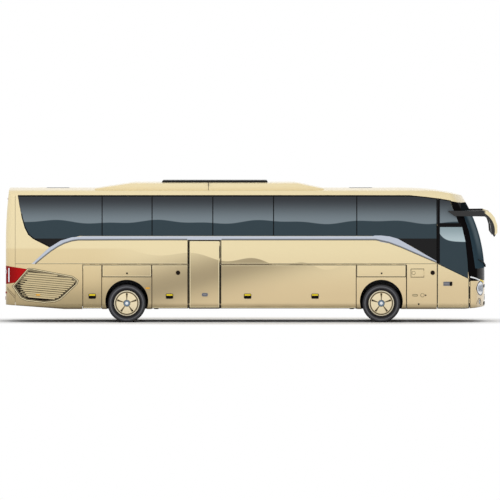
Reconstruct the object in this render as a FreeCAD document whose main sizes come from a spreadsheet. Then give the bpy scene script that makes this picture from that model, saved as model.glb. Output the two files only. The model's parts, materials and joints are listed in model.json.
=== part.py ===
import FreeCAD, Part
import math
import os
import re
import Sketcher
from FreeCAD import Placement, Rotation, Vector

# A two-axle high-deck touring coach.  +X is forward, +Y the coach's left, +Z up; the origin is on
# the ground, midway between the tail and the tips of the mirrors.  All sizes are in millimetres.

doc = FreeCAD.newDocument("touring_coach")

# ---------------------------------------------------------------- driving sizes

SIZES = [  # alias, value, what it is
    ("front_axle_x", 3553, "front axle ahead of the origin"),
    ("wheelbase", 6950, "distance between the axles"),
    ("front_overhang", 2847, "front axle to nose"),
    ("rear_overhang", 3309, "rear axle to tail"),
    ("body_width", 2550, "over the side panels"),
    ("sill_z", 364, "underside of the side panels"),
    ("sill_rise_front", 60, "how much the sill rises to the nose"),
    ("sill_rise_rear", 120, "how much the sill rises to the tail"),
    ("tuck_z", 498, "where the sides begin to tuck under"),
    ("tuck_in", 40, "how far they tuck under at the sill"),
    ("belt_z", 1587, "top edge of the flaps"),
    ("arch_flap_z", 1237, "lower edge of the flaps over the wheels"),
    ("waist_z", 2359, "lower edge of the side glass"),
    ("glass_height", 1093, "height of the side glass"),
    ("roof_rise", 203, "side glass to the crown of the roof"),
    ("wall", 60, "thickness of body walls"),
    ("leaf", 45, "thickness of doors and flaps"),
    ("pane", 10, "thickness of glass and its bed"),
    ("bond", 0.3, "bond line behind glass and trim"),
    ("seam", 8, "gap between body panels"),
    ("door_gap", 14, "gap round a passenger door"),
    ("brow_z", 1290, "where the nose starts to lean back"),
    ("screen_radius", 4000, "side-view arc of the windscreen"),
    ("nose_plan_radius", 3200, "plan-view arc of the nose"),
    ("nose_corner", 180, "radius of the front corners"),
    ("tail_corner", 220, "radius of the rear corners"),
    ("tumble_z", 2100, "where the sides and the tail start to lean in"),
    ("tumble_radius", 13000, "arc of the upper sides and tail"),
    ("roof_edge", 230, "radius of the roof's long edges"),
    ("roof_edge_in", 70, "widest point of the roof's long edges, in from the sides"),
    ("roof_crown", 9000, "arc across the roof"),
    ("roof_front_run", 2327, "nose to the start of the roof's front slope"),
    ("roof_front_radius", 7000, "side-view arc of that slope"),
    ("rear_corner_depth", 263, "tail to the first side seam"),
    ("grille_panel", 1837, "length of the side panel with the grille"),
    ("arch_panel_half", 678, "half the length of a wheel arch panel"),
    ("arch_radius", 586, "wheel arch"),
    ("arch_centre_z", 580, "height of the arch's centre"),
    ("mid_door_offset", 1684, "rear axle to the middle door"),
    ("mid_door_width", 859, "middle door"),
    ("mid_door_top_z", 2255, "top of the middle door"),
    ("front_door_setback", 444, "nose to the front door"),
    ("front_door_width", 882, "front door"),
    ("front_door_top_z", 2647, "top of the front door"),
    ("nose_mask_z", 1137, "top of the painted nose panel"),
    ("screen_low_z", 1470, "lower edge of the windscreen"),
    ("lid_half", 900, "half the width of the engine lid"),
    ("lid_low_z", 640, "lower edge of the engine lid"),
    ("lid_top_z", 1500, "upper edge of the engine lid"),
    ("pillar", 120, "width of the pillars behind the glass"),
    ("knuckle_radius", 7, "outside of a hinge's knuckles"),
    ("pin_radius", 3, "hinge pin"),
    ("play", 0.3, "play round pins and spindles"),
    ("hinge_out", 6, "hinge line outside the body side"),
    ("hinge_length", 120, "length of one hinge"),
    ("tyre_radius", 523, "outside of the tyres"),
    ("tyre_width", 295, "section width of the tyres"),
    ("rim_radius", 345, "outer edge of the rims"),
    ("wheel_y", 1098, "middle of the outer tyres from the centre line"),
    ("twin_pitch", 340, "between the two tyres of a twin wheel"),
    ("spindle_radius", 45, "wheel spindle"),
    ("hub_radius", 140, "wheel hub"),
    ("king_pin_y", 880, "king pin from the centre line"),
    ("king_pin_radius", 28, "king pin"),
    ("rail_y", 430, "inner face of the frame rails"),
    ("rail_width", 80, "width of the frame rails"),
    ("rail_height", 120, "height of the frame rails"),
    ("front_rail_z", 720, "underside of the front rails"),
    ("rear_rail_z", 760, "underside of the rear rails"),
    ("bay_rail_z", 372, "underside of the luggage bay's rails"),
    ("house_top_z", 1220, "top of the wheelhouses"),
    ("sheet", 20, "thickness of wheelhouses and bay linings"),
    ("deck_z", 1440, "top of the passenger deck"),
    ("deck_thickness", 40, "passenger deck"),
    ("cab_floor_z", 1000, "top of the driver's platform"),
    ("cab_length", 1560, "nose to the step up to the deck"),
    ("first_step_z", 420, "lowest entrance step"),
    ("step_run", 290, "depth of a step"),
    ("seat_pitch", 800, "between rows of seats"),
    ("seat_width", 880, "a pair of seats"),
    ("seat_height", 430, "top of the cushion over the deck"),
    ("seat_back", 680, "seat back over the cushion"),
    ("seat_inset", 40, "seats from the side wall"),
    ("pod_rear_offset", 2434, "tail to the roof unit"),
    ("pod_length", 6248, "roof unit"),
    ("pod_half", 960, "half the width of the roof unit"),
    ("pod_top", 155, "roof unit above the roof"),
    ("fan_cover_offset", 1828, "rear of the roof unit to the fan cover"),
    ("fan_cover_length", 2893, "fan cover"),
    ("fan_cover_half", 640, "half the width of the fan cover"),
    ("fan_cover_height", 52, "fan cover above the roof unit"),
    ("mirror_reach", 319, "mirror heads ahead of the nose"),
    ("mirror_proud", 55, "outer face of the mirrors, out from the sides"),
    ("mirror_head", 250, "width of a mirror head"),
    ("mirror_arm", 66, "width of a mirror arm"),
    ("strip_height", 96, "bright strip below the windows"),
    ("strip_proud", 4, "how far the strip stands out"),
    ("column_radius", 30, "steering column"),
    ("steering_wheel_radius", 225, "steering wheel"),
    ("tow_socket_radius", 18, "towing eye's threaded socket"),
    ("tow_socket_depth", 90, "depth of that socket"),
    ("tow_socket_y", 620, "socket from the centre line"),
    ("tow_socket_z", 560, "height of the socket"),
    ("jack_pad_radius", 60, "jacking pads under the frame"),
    ("jack_pad_z", 340, "underside of those pads"),
]

PLACES = [  # alias, formula
    ("rear_axle_x", "front_axle_x - wheelbase"),
    ("nose_x", "front_axle_x + front_overhang"),
    ("tail_x", "front_axle_x - wheelbase - rear_overhang"),
    ("side_y", "body_width / 2"),
    ("roof_edge_y", "body_width / 2 - roof_edge_in"),
    ("mirror_out", "body_width / 2 + mirror_proud"),
    ("glass_top_z", "waist_z + glass_height"),
    ("cantrail_z", "waist_z + glass_height + 5"),
    ("roof_z", "waist_z + glass_height + roof_rise"),
    ("rear_corner_x", "tail_x + rear_corner_depth"),
    ("grille_front_x", "tail_x + rear_corner_depth + grille_panel"),
    ("rear_arch_x0", "rear_axle_x - arch_panel_half"),
    ("rear_arch_x1", "rear_axle_x + arch_panel_half"),
    ("front_arch_x0", "front_axle_x - arch_panel_half"),
    ("front_arch_x1", "front_axle_x + arch_panel_half"),
    ("mid_door_x0", "rear_axle_x + mid_door_offset"),
    ("mid_door_x1", "rear_axle_x + mid_door_offset + mid_door_width"),
    ("front_door_x1", "nose_x - front_door_setback"),
    ("front_door_x0", "nose_x - front_door_setback - front_door_width"),
    ("cab_step_x", "nose_x - cab_length"),
    ("leaf_y", "side_y - leaf"),
    ("lining_y", "side_y - wall"),
    ("axle_z", "tyre_radius"),
    ("pod_rear_x", "tail_x + pod_rear_offset"),
    ("pod_front_x", "tail_x + pod_rear_offset + pod_length"),
    ("pod_top_z", "roof_z + pod_top"),
    ("strip_top_z", "waist_z - 5"),
    ("screen_top_z", "waist_z + glass_height - 190"),
]

sizes = doc.addObject("Spreadsheet::Sheet", "Sizes")
for row, (alias, value, meaning) in enumerate(SIZES, start=1):
    sizes.set(f"A{row}", str(value))
    sizes.set(f"B{row}", meaning)
    sizes.setAlias(f"A{row}", alias)
doc.recompute()

SIZE_NAMES = {alias for alias, value, meaning in SIZES}
PLACE_NAMES = {alias for alias, text in PLACES}


def bound(text):
    """Turns a formula of plain names into one that refers to the two sheets."""
    def owner(match):
        word = match.group()
        if word in SIZE_NAMES:
            return "Sizes." + word
        if word in PLACE_NAMES:
            return "Places." + word
        raise ValueError("unknown size " + word)
    return re.sub(r"[a-z]\w*", owner, str(text))


places = doc.addObject("Spreadsheet::Sheet", "Places")
for row, (alias, text) in enumerate(PLACES, start=1):
    places.set(f"A{row}", "=" + bound(text).replace("Places.", ""))
    places.setAlias(f"A{row}", alias)
doc.recompute()


def at(name):
    """The number behind a named size or place."""
    return float((sizes if name in SIZE_NAMES else places).get(name))


# ---------------------------------------------------------------- small helpers

SUB_PARTS = []


def keep(node, name):
    """Names a finished sub-part, which becomes parts/name.step."""
    node.Label = name
    SUB_PARTS.append(node)
    return node


def feature(name, shape):
    node = doc.addObject("Part::Feature", name)
    node.Shape = shape
    return node


def box(name, x, y, z):
    """A box between two formulas on each axis."""
    node = doc.addObject("Part::Box", name)
    for prop, (low, high) in zip(("Length", "Width", "Height"), (x, y, z)):
        node.setExpression(prop, bound(f"({high}) - ({low})"))
    for axis, (low, high) in zip("xyz", (x, y, z)):
        node.setExpression("Placement.Base." + axis, bound(low))
    return node


TURNS = {
    "x": Rotation(Vector(0, 1, 0), 90),
    "y": Rotation(Vector(1, 0, 0), -90),
    "z": Rotation(),
}


def rod(name, radius, axis, start, length):
    """A cylinder that starts at three formulas and runs along +X, +Y or +Z."""
    node = doc.addObject("Part::Cylinder", name)
    node.setExpression("Radius", bound(radius))
    node.setExpression("Height", bound(length))
    node.Placement = Placement(Vector(), TURNS[axis])
    for letter, text in zip("xyz", start):
        node.setExpression("Placement.Base." + letter, bound(text))
    return node


def outline(name, points):
    """A closed sketch in the XZ plane, each corner held by two formulas."""
    sketch = doc.addObject("Sketcher::SketchObject", name)
    sketch.Placement = Placement(Vector(), Rotation(Vector(1, 0, 0), 90))
    bind_polygon(sketch, points)
    return sketch


def bind_polygon(sketch, points):
    """Draws straight lines between corners and ties every corner to its two formulas."""
    corners = []
    for u, v in points:
        corners.append(Vector(solve(u), solve(v), 0))
    count = len(corners)
    for k in range(count):
        sketch.addGeometry(Part.LineSegment(corners[k], corners[(k + 1) % count]), False)
    for k in range(count):
        sketch.addConstraint(Sketcher.Constraint("Coincident", k, 2, (k + 1) % count, 1))
    for k, (u, v) in enumerate(points):
        for kind, text, value in (("DistanceX", u, corners[k].x), ("DistanceY", v, corners[k].y)):
            index = sketch.addConstraint(Sketcher.Constraint(kind, -1, 1, k, 1, value))
            sketch.setExpression(f"Constraints[{index}]", bound(text))


solver = doc.addObject("App::FeaturePython", "Solver")
solver.addProperty("App::PropertyFloat", "Value")


def solve(text):
    """Lets the document work out one formula."""
    solver.setExpression("Value", bound(text))
    solver.recompute()
    return solver.Value


def prism(name, points, y=("-2000", "2000")):
    """An XZ outline extruded along Y between two formulas."""
    sketch = outline(name + "_outline", points)
    sketch.setExpression("Placement.Base.y", bound(y[0]))
    node = doc.addObject("Part::Extrusion", name)
    node.Base = sketch
    node.DirMode = "Custom"
    node.Dir = Vector(0, 1, 0)
    node.Solid = True
    node.setExpression("LengthFwd", bound(f"({y[1]}) - ({y[0]})"))
    return node


def both(kind, name, base, tool):
    node = doc.addObject(kind, name)
    node.Base = base
    node.Tool = tool
    return node


def common(name, base, tool):
    return both("Part::Common", name, base, tool)


def fuse(name, shapes):
    node = doc.addObject("Part::MultiFuse", name)
    node.Shapes = list(shapes)
    node.Refine = True
    return node


def cut(name, base, tools):
    """base with each of the tools taken away in turn."""
    for count, tool in enumerate(tools, start=1):
        step = name if count == len(tools) else f"{name}_cut{count}"
        base = both("Part::Cut", step, base, tool)
    return base


def group(name, shapes):
    node = doc.addObject("Part::Compound", name)
    node.Links = list(shapes)
    return node


def butted(name, shapes):
    """The shapes as solids of their own, each cut back where an earlier one already is."""
    doc.recompute()
    parts = []
    for k, shape in enumerate(shapes):
        reach = shape.Shape.BoundBox
        earlier = [other for other in shapes[:k] if other.Shape.BoundBox.intersect(reach)]
        parts.append(cut(f"{name}_{k}", shape, earlier) if earlier else shape)
    return group(name, parts)


def mirror(name, source):
    node = doc.addObject("Part::Mirroring", name)
    node.Source = source
    node.Normal = Vector(0, 1, 0)
    return node


# ---------------------------------------------------------------- the coach's outer form

def loop(*edges):
    return Part.Face(Part.Wire(list(edges)))


def line(a, b):
    return Part.makeLine(a, b)


def arc(a, b, c):
    return Part.Arc(a, b, c).toShape()


def lean(z, inset):
    """How far the sides and the tail have leaned in at a height above tumble_z."""
    radius = at("tumble_radius") - inset
    return radius - math.sqrt(radius ** 2 - (z - at("tumble_z")) ** 2)


TOP = 3800  # above the roof, where the blocks that make the form are cut off


def leaning_edges(reach, inset):
    """Profile edges in the XZ plane: upright at X = reach, leaning in above tumble_z."""
    bend, middle = at("tumble_z"), (at("tumble_z") + TOP) / 2
    return [line(Vector(reach, 0, 0), Vector(reach, 0, bend)),
            arc(Vector(reach, 0, bend), Vector(reach - lean(middle, inset), 0, middle),
                Vector(reach - lean(TOP, inset), 0, TOP))]


def leaning_face(back, reach, inset):
    """The area between X = back and the leaning edge."""
    end = reach - lean(TOP, inset)
    return loop(line(Vector(back, 0, 0), Vector(reach, 0, 0)), *leaning_edges(reach, inset),
                line(Vector(end, 0, TOP), Vector(back, 0, TOP)),
                line(Vector(back, 0, TOP), Vector(back, 0, 0)))


def side_block(x0, x1, inset):
    """A full-width length of body between its leaning sides."""
    half = leaning_face(0, at("side_y") - inset, inset)
    blocks = []
    for turn in (90, -90):
        face = half.copy()
        face.rotate(Vector(), Vector(0, 0, 1), turn)
        face.translate(Vector(x0, 0, 0))
        blocks.append(face.extrude(Vector(x1 - x0, 0, 0)))
    return blocks[0].fuse(blocks[1]).removeSplitter()


def tail_block(inset):
    """The rear half of the body: leaning sides and tail, joined by round corners."""
    radius = at("tail_corner") - inset
    corner_x, corner_y = at("tail_x") + at("tail_corner"), at("side_y") - at("tail_corner")
    middle = leaning_face(0, -at("tail_x") - inset, inset)
    middle.rotate(Vector(), Vector(0, 0, 1), 180)
    middle.translate(Vector(0, -corner_y, 0))
    blocks = [middle.extrude(Vector(0, 2 * corner_y, 0))]
    for side, turn in ((1, 90), (-1, 180)):
        corner = leaning_face(0, radius, inset)
        corner.rotate(Vector(), Vector(0, 0, 1), turn)
        corner = corner.revolve(Vector(), Vector(0, 0, 1), 90)
        corner.translate(Vector(corner_x, side * corner_y, 0))
        blocks.append(corner)
    return side_block(corner_x, 0, inset).fuse(blocks).removeSplitter()


def nose_block(inset):
    """The front half: a curved nose that leans back on an arc above brow_z, with round corners."""
    wide, nose_x, brow = at("side_y") + 200, at("nose_x"), at("brow_z")
    radius = at("nose_plan_radius") - inset
    centre = nose_x - at("nose_plan_radius")
    axis_x = nose_x - at("screen_radius")
    reach = centre + math.sqrt(radius ** 2 - wide ** 2)
    tip = Vector(nose_x - inset, 0, brow)
    left, right = Vector(reach, wide, brow), Vector(reach, -wide, brow)
    back_left, back_right = Vector(axis_x, wide, brow), Vector(axis_x, -wide, brow)
    plan = loop(line(back_right, right), arc(right, tip, left), line(left, back_left),
                line(back_left, back_right))
    upright = plan.extrude(Vector(0, 0, -brow))
    leaning = plan.revolve(Vector(axis_x, 0, brow), Vector(0, -1, 0), 89)
    whole = upright.fuse(leaning).removeSplitter()
    front = whole.common(side_block(axis_x, nose_x + 100, inset)).removeSplitter()
    front = front.makeFillet(at("nose_corner") - inset, corners(front, nose_x - 1700, nose_x))
    return front.fuse(side_block(0, axis_x + 200, inset)).removeSplitter()


def roof_section(inset):
    """Crowned roof with round long edges, and the sides tucked under at the sill."""
    crown, edge = at("roof_crown") - inset, at("roof_edge") - inset
    top, edge_y = at("roof_z") + 6 - inset, at("roof_edge_y") - inset
    centre_z, edge_centre_y = top - crown, edge_y - edge
    edge_centre_z = centre_z + math.sqrt((crown - edge) ** 2 - edge_centre_y ** 2)
    grow = crown / (crown - edge)
    end_y, end_z = edge_centre_y * grow, centre_z + (edge_centre_z - centre_z) * grow
    half_turn = math.atan2(end_z - edge_centre_z, end_y - edge_centre_y) / 2
    mid_y = edge_centre_y + edge * math.cos(half_turn)
    mid_z = edge_centre_z + edge * math.sin(half_turn)
    wide, sill_y = at("side_y") + 60, at("side_y") - at("tuck_in") - inset
    tuck_y, skirt = at("side_y") - inset, at("tuck_z") - at("sill_z")
    out_z = at("tuck_z") + skirt * 60 / at("tuck_in")
    low_y = tuck_y - at("tuck_in") * (at("tuck_z") + 100) / skirt
    right = [Vector(0, low_y, -100), Vector(0, wide - inset, out_z),
             Vector(0, wide - inset, edge_centre_z - 400), Vector(0, edge_y, edge_centre_z),
             Vector(0, mid_y, mid_z), Vector(0, end_y, end_z)]
    left = [Vector(0, -p.y, p.z) for p in right]
    edges = [line(left[0], right[0]), line(right[0], right[1]), line(right[1], right[2]),
             line(right[2], right[3]), arc(right[3], right[4], right[5]),
             arc(right[5], Vector(0, 0, top), left[5]), arc(left[5], left[4], left[3]),
             line(left[3], left[2]), line(left[2], left[1]), line(left[1], left[0])]
    prism_shape = loop(*edges).extrude(Vector(20000, 0, 0))
    prism_shape.translate(Vector(-10000, 0, 0))
    return prism_shape


def roof_profile(inset):
    """Side view of the roof: level, sloping down on an arc to the nose, round at the tail."""
    top, tail_x = at("roof_z") - inset, at("tail_x")
    start, radius = at("nose_x") - at("roof_front_run"), at("roof_front_radius") - inset
    centre_z, end, far = top - radius, at("nose_x") + 100, -10000
    fall = lambda x: centre_z + math.sqrt(radius ** 2 - (x - start) ** 2)
    middle = (start + end) / 2
    face = loop(line(Vector(far, 0, -200), Vector(far, 0, top)),
                line(Vector(far, 0, top), Vector(start, 0, top)),
                arc(Vector(start, 0, top), Vector(middle, 0, fall(middle)),
                    Vector(end, 0, fall(end))),
                line(Vector(end, 0, fall(end)), Vector(end, 0, -200)),
                line(Vector(end, 0, -200), Vector(far, 0, -200)))
    shape = face.extrude(Vector(0, 4000, 0))
    shape.translate(Vector(0, -2000, 0))
    return shape


def corners(shape, low, high):
    """The upright edges between the sides and one end of the body."""
    found = []
    for edge in shape.Edges:
        reach = edge.BoundBox
        across = abs(reach.YMin + reach.YMax) / 2
        if reach.ZLength > 200 and across > 1000 and low < reach.XMin and reach.XMax < high:
            found.append(edge)
    return found


def body_form(inset):
    """The solid inside the coach's skin, everywhere inset from its outer face."""
    form = nose_block(inset).fuse(tail_block(inset)).removeSplitter()
    return form.common(roof_profile(inset)).common(roof_section(inset)).removeSplitter()


outer = feature("outer_form", body_form(0))
glass_back = feature("glass_back_form", body_form(at("pane") - at("bond")))
bed_form = feature("glass_bed_form", body_form(at("pane")))
leaf_back = feature("leaf_back_form", body_form(at("leaf")))
wall_back = feature("wall_back_form", body_form(at("wall")))
strip_front = feature("strip_front_form", body_form(-at("strip_proud")))
strip_back = feature("strip_back_form", body_form(-at("bond")))

side_view = prism("side_view", [
    ("tail_x - 97", "sill_z + sill_rise_rear + 8"), ("tail_x + 1610", "sill_z"),
    ("nose_x - 658", "sill_z"), ("nose_x + 100", "sill_z + sill_rise_front + 9"),
    ("nose_x + 100", "5000"), ("tail_x - 97", "5000")])
skin = common("skin", outer, side_view)
wall_shell = cut("wall_shell", skin, [wall_back])
leaf_shell = cut("leaf_shell", skin, [leaf_back])
glass_layer = cut("glass_layer", outer, [glass_back])
bed_layer = cut("bed_layer", strip_front, [bed_form])

RIGHT = ("-2000", "-600")
LEFT = ("600", "2000")


# ---------------------------------------------------------------- seams of the front end

def shift(points, distance):
    """The same outline points moved along X by a formula."""
    return [(f"({x}) + {distance}", z) for x, z in points]


# rear edge of the black windscreen pillar, upwards from the door's top
PILLAR = [("nose_x - 710", "front_door_top_z + door_gap / 2"), ("nose_x - 817", "2915"),
          ("nose_x - 978", "cantrail_z - 88 - 104 * 265 / 558")]
# middle of the seam along the front of the door, upwards from its foot
DOOR_SEAM = [("front_door_x1", "1190"), ("front_door_x1 - 29", "1400"),
             ("front_door_x1 - 47", "1689"), ("front_door_x1 - 102", "2217"),
             ("front_door_x1 - 200", "front_door_top_z")]
# lower edge of the roof, forwards
CANTRAIL = [("nose_x - 2081", "cantrail_z"), ("nose_x - 1243", "cantrail_z - 88"),
            ("nose_x - 685", "cantrail_z - 192")]
# rear edge of the windscreen, upwards
SCREEN = [("nose_x - 280", "screen_low_z"), ("nose_x - 313", "1689"), ("nose_x - 384", "2132"),
          ("nose_x - 453", "2483"), ("nose_x - 592", "2901"), ("nose_x - 677", "3096"),
          ("nose_x - 677", "screen_top_z")]
# outline of the dark glazed band, forwards along its lower edge
BAND_LOW = [("tail_x + 794", "waist_z - 104"), ("tail_x + 1190", "waist_z - 300"),
            ("tail_x + 1230", "waist_z - 345"), ("tail_x + 1560", "waist_z - 110"),
            ("tail_x + 2020", "waist_z"), ("nose_x - 2860", "waist_z"),
            ("nose_x - 2400", "waist_z - 76"), ("nose_x - 2015", "waist_z - 287"),
            ("front_door_x0 - 8", "waist_z - 687")]
BAND_REAR = [("tail_x + 334", "glass_top_z"), ("tail_x + 375", "glass_top_z - 258"),
             ("tail_x + 444", "glass_top_z - 551"), ("tail_x + 512", "glass_top_z - 868"),
             ("tail_x + 613", "glass_top_z - 1071")]
BAND_FRONT = [("front_door_x0 - 8", "front_door_top_z + door_gap / 2"), *PILLAR[:2],
              ("nose_x - 978", "cantrail_z - 142"), ("nose_x - 1243", "cantrail_z - 93"),
              ("nose_x - 2081", "glass_top_z")]
BAND = BAND_REAR + BAND_LOW + BAND_FRONT

# ---------------------------------------------------------------- hinges

def hinge(centre, along, outwards, swings, moving):
    """One half of a hinge on the outer skin, with its length along the hinge line.

    The fixed half is two lugs with the pin between them; the moving half is the bored knuckle.
    """
    length, radius = at("hinge_length"), at("knuckle_radius")
    third, gap, depth = length / 3, 1, at("hinge_out") + 14
    towards = swings if moving else -swings
    pieces = []
    if moving:
        spans = [(third + gap, length - third - gap)]
    else:
        spans = [(0, third), (length - third, length)]
        pieces.append(Part.makeCylinder(at("pin_radius"), length, Vector(), along))
    for start, end in spans:
        foot = along * start
        pieces.append(Part.makeCylinder(radius, end - start, foot, along))
        web = Part.Face(Part.makePolygon([
            foot, foot + towards * 12, foot + towards * 12 - outwards * depth,
            foot - outwards * depth, foot]))
        pieces.append(web.extrude(along * (end - start)))
    shape = pieces[0].fuse(pieces[1:])
    if moving:
        bore = Part.makeCylinder(at("pin_radius") + at("play"), length, Vector(), along)
        shape = shape.cut(bore)
    shape.translate(centre - along * length / 2)
    return shape


X, Y, Z = Vector(1, 0, 0), Vector(0, 1, 0), Vector(0, 0, 1)
FLAPS = [  # name, rear edge, front edge, lower edge, hinges, as on the right side
    ("service_flap", "grille_front_x", "rear_arch_x0", "sill_z + 16", 2),
    ("rear_arch_flap", "rear_arch_x0", "rear_arch_x1", "arch_flap_z", 2),
    ("rear_luggage_flap", "rear_arch_x1", "mid_door_x0", "sill_z + 16", 2),
    ("main_luggage_flap", "mid_door_x1", "front_arch_x0", "sill_z + 16", 4),
    ("front_arch_flap", "front_arch_x0", "front_arch_x1", "arch_flap_z", 2),
]


def flap_hinges(rear, front, count, moving):
    """Hinge halves spread along the top edge of a flap on the right side."""
    start, end = solve(rear), solve(front)
    halves = []
    for k in range(count):
        x = start + (end - start) * (k + 0.5) / count
        centre = Vector(x, -at("side_y") - at("hinge_out"), at("belt_z"))
        halves.append(hinge(centre, X, -Y, -Z, moving))
    return halves


def door_hinges(x, heights, moving):
    """Hinge halves on the upright front edge of a door on the right side."""
    halves = []
    for z in heights:
        centre = Vector(x, -at("side_y") - at("hinge_out"), z)
        halves.append(hinge(centre, Z, -Y, -X, moving))
    return halves


def add(name, base, shapes):
    """base joined to loose shapes."""
    return fuse(name, [base] + [feature(f"{name}_piece{k}", s) for k, s in enumerate(shapes)])


FRONT_HINGES = [at("tuck_z") + 90, at("nose_mask_z") - 90]
MID_HINGES = [at("belt_z") + 110, at("mid_door_top_z") - 110]
mid_hinge_x = at("mid_door_x1") - at("seam") / 2

right_flaps = {}
for name, rear, front, low, count in FLAPS:
    region = box(name + "_region", (f"{rear} + seam / 2", f"{front} - seam / 2"),
                 ("-2000", "-600"), (low, "belt_z - seam / 2"))
    if low == "arch_flap_z":
        region.setExpression("Placement.Base.z", bound("arch_flap_z + seam / 2"))
        region.setExpression("Height", bound("belt_z - arch_flap_z - seam"))
    plate = common(name + "_plate", leaf_shell, region)
    halves = flap_hinges(rear, front, count, True)
    right_flaps[name] = keep(add(name, plate, halves), name + "_right")
    if name != "rear_luggage_flap":
        keep(mirror(name + "_left_copy", right_flaps[name]), name + "_left")

# on the left no door interrupts the rear luggage flap
long_region = box("rear_luggage_left_region", ("rear_arch_x1 + seam / 2", "mid_door_x1 - seam / 2"),
                  ("600", "2000"), ("sill_z + 16", "belt_z - seam / 2"))
long_plate = common("rear_luggage_left_plate", leaf_shell, long_region)
long_halves = [s.mirror(Vector(), Y) for s in flap_hinges("rear_arch_x1", "mid_door_x1", 3, True)]
keep(add("rear_luggage_flap_left_leaf", long_plate, long_halves), "rear_luggage_flap_left")

# ---------------------------------------------------------------- side walls

flap_zone = box("flap_zone", ("grille_front_x - seam / 2", "front_arch_x1 + seam / 2"),
                ("-2000", "2000"), ("-100", "belt_z + seam / 2"))
mid_door_hole = box("mid_door_hole", ("mid_door_x0 - seam / 2", "mid_door_x1 + seam / 2"), RIGHT,
                    ("-100", "mid_door_top_z + seam / 2"))
band = prism("glass_band", BAND)
band_bed = common("glass_band_bed", bed_layer, band)

MULLIONS = ["rear_axle_x - 674", "rear_axle_x + 690", "rear_axle_x + 2349", "front_axle_x - 2943",
            "front_axle_x - 671"]
window_holes = [prism("rear_side_window_hole", [
    ("tail_x + 500", "glass_top_z - 70"), ("tail_x + 700", "waist_z + 70"),
    (MULLIONS[0] + " - pillar / 2", "waist_z + 70"),
    (MULLIONS[0] + " - pillar / 2", "glass_top_z - 70")])]
for k in range(len(MULLIONS) - 1):
    window_holes.append(box(f"side_window_hole{k}",
                            (MULLIONS[k] + " + pillar / 2", MULLIONS[k + 1] + " - pillar / 2"),
                            ("-2000", "2000"), ("waist_z + 70", "glass_top_z - 70")))
window_holes.append(prism("front_side_window_hole", [
    (MULLIONS[-1] + " + pillar / 2", "waist_z + 70"), ("front_door_x0 - 94", "waist_z + 70"),
    ("front_door_x0 - 94", "glass_top_z - 160"), ("nose_x - 2081", "glass_top_z - 70"),
    (MULLIONS[-1] + " + pillar / 2", "glass_top_z - 70")]))
window_holes.append(prism("corner_window_hole", [
    ("front_door_x0 + 90", "front_door_top_z + 90"), ("nose_x - 800", "front_door_top_z + 90"),
    ("nose_x - 1000", "cantrail_z - 230"), ("front_door_x0 + 90", "cantrail_z - 180")]))

GRILLE = [("tail_x + 170", "988"), ("tail_x + 600", "1478"), ("tail_x + 704", "1486"),
          ("tail_x + 1837", "1267"), ("tail_x + 1996", "1147"), ("tail_x + 1960", "1040"),
          ("tail_x + 1506", "621"), ("tail_x + 1350", "553"), ("tail_x + 1051", "525"),
          ("tail_x + 564", "586"), ("tail_x + 405", "657")]
grille_hole = prism("grille_hole", GRILLE)
grille_hole_right = prism("grille_hole_right", GRILLE, RIGHT)
grille_hole_left = mirror("grille_hole_left", grille_hole_right)
TAIL_LAMP = [("tail_x - 50", "1556"), ("tail_x + 590", "1458"), ("tail_x + 275", "1088"),
             ("tail_x - 50", "1040")]
LAMP_SIDE = ("-2000", "-lid_half - 110")
tail_lamp_right = cut("tail_lamp_right_column",
                      prism("tail_lamp_right_blank", TAIL_LAMP, LAMP_SIDE), [grille_hole])
tail_lamp_left = mirror("tail_lamp_left_column", tail_lamp_right)
FUEL = ("front_arch_x1 + 130", "front_arch_x1 + 490")
FUEL_Z = ("1235", "1462")
fuel_hole = box("fuel_hole", (FUEL[0] + " - seam", FUEL[1]), RIGHT,
                (FUEL_Z[0] + " - seam", FUEL_Z[1] + " + seam"))
fuel_hinge_x = solve(FUEL[1]) - at("seam") / 2
fuel_hinge_z = [(float(FUEL_Z[0]) + float(FUEL_Z[1])) / 2]

SIDE_TOP = [*PILLAR, CANTRAIL[1], CANTRAIL[0], ("rear_corner_x + seam / 2", "cantrail_z")]
right_region = prism("right_region", [
    ("rear_corner_x + seam / 2", "-100"), ("front_door_x0 - door_gap / 2", "-100"),
    ("front_door_x0 - door_gap / 2", "front_door_top_z + door_gap / 2"), *SIDE_TOP], RIGHT)
left_region = prism("left_region", [
    ("rear_corner_x + seam / 2", "-100"), ("front_door_x1 - seam / 2", "-100"),
    *shift(DOOR_SEAM, "-seam / 2"),
    ("front_door_x1 - 200 - seam / 2", "front_door_top_z + door_gap / 2"), *SIDE_TOP], LEFT)
DOOR_GLASS = [("front_door_x0 + door_gap / 2", "1620"),
              ("front_door_x1 - 34", "1205"), *shift(DOOR_SEAM[1:], "-door_gap / 2"),
              ("front_door_x0 + door_gap / 2", "front_door_top_z")]
DOOR_GLASS_HOLE = [("front_door_x0 + 90", "1680"), ("front_door_x1 - 140", "1370"),
                   ("front_door_x1 - 135", "1689"), ("front_door_x1 - 190", "2217"),
                   ("front_door_x1 - 270", "front_door_top_z - 90"),
                   ("front_door_x0 + 90", "front_door_top_z - 90")]
door_glass_region = prism("door_glass_region", DOOR_GLASS)
door_glass_hole = prism("door_glass_hole", DOOR_GLASS_HOLE)
door_glass_bed = common("door_glass_bed", bed_layer, door_glass_region)

right_wall = cut("right_wall", common("right_shell", wall_shell, right_region),
                 [flap_zone, mid_door_hole, band_bed, *window_holes, grille_hole,
                  tail_lamp_right, fuel_hole])
fixed_halves = []
for name, rear, front, low, count in FLAPS:
    fixed_halves += flap_hinges(rear, front, count, False)
fixed_halves += door_hinges(mid_hinge_x, MID_HINGES, False)
fixed_halves += door_hinges(fuel_hinge_x, fuel_hinge_z, False)
keep(add("right_wall_hinged", right_wall, fixed_halves), "side_wall_right")

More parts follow.
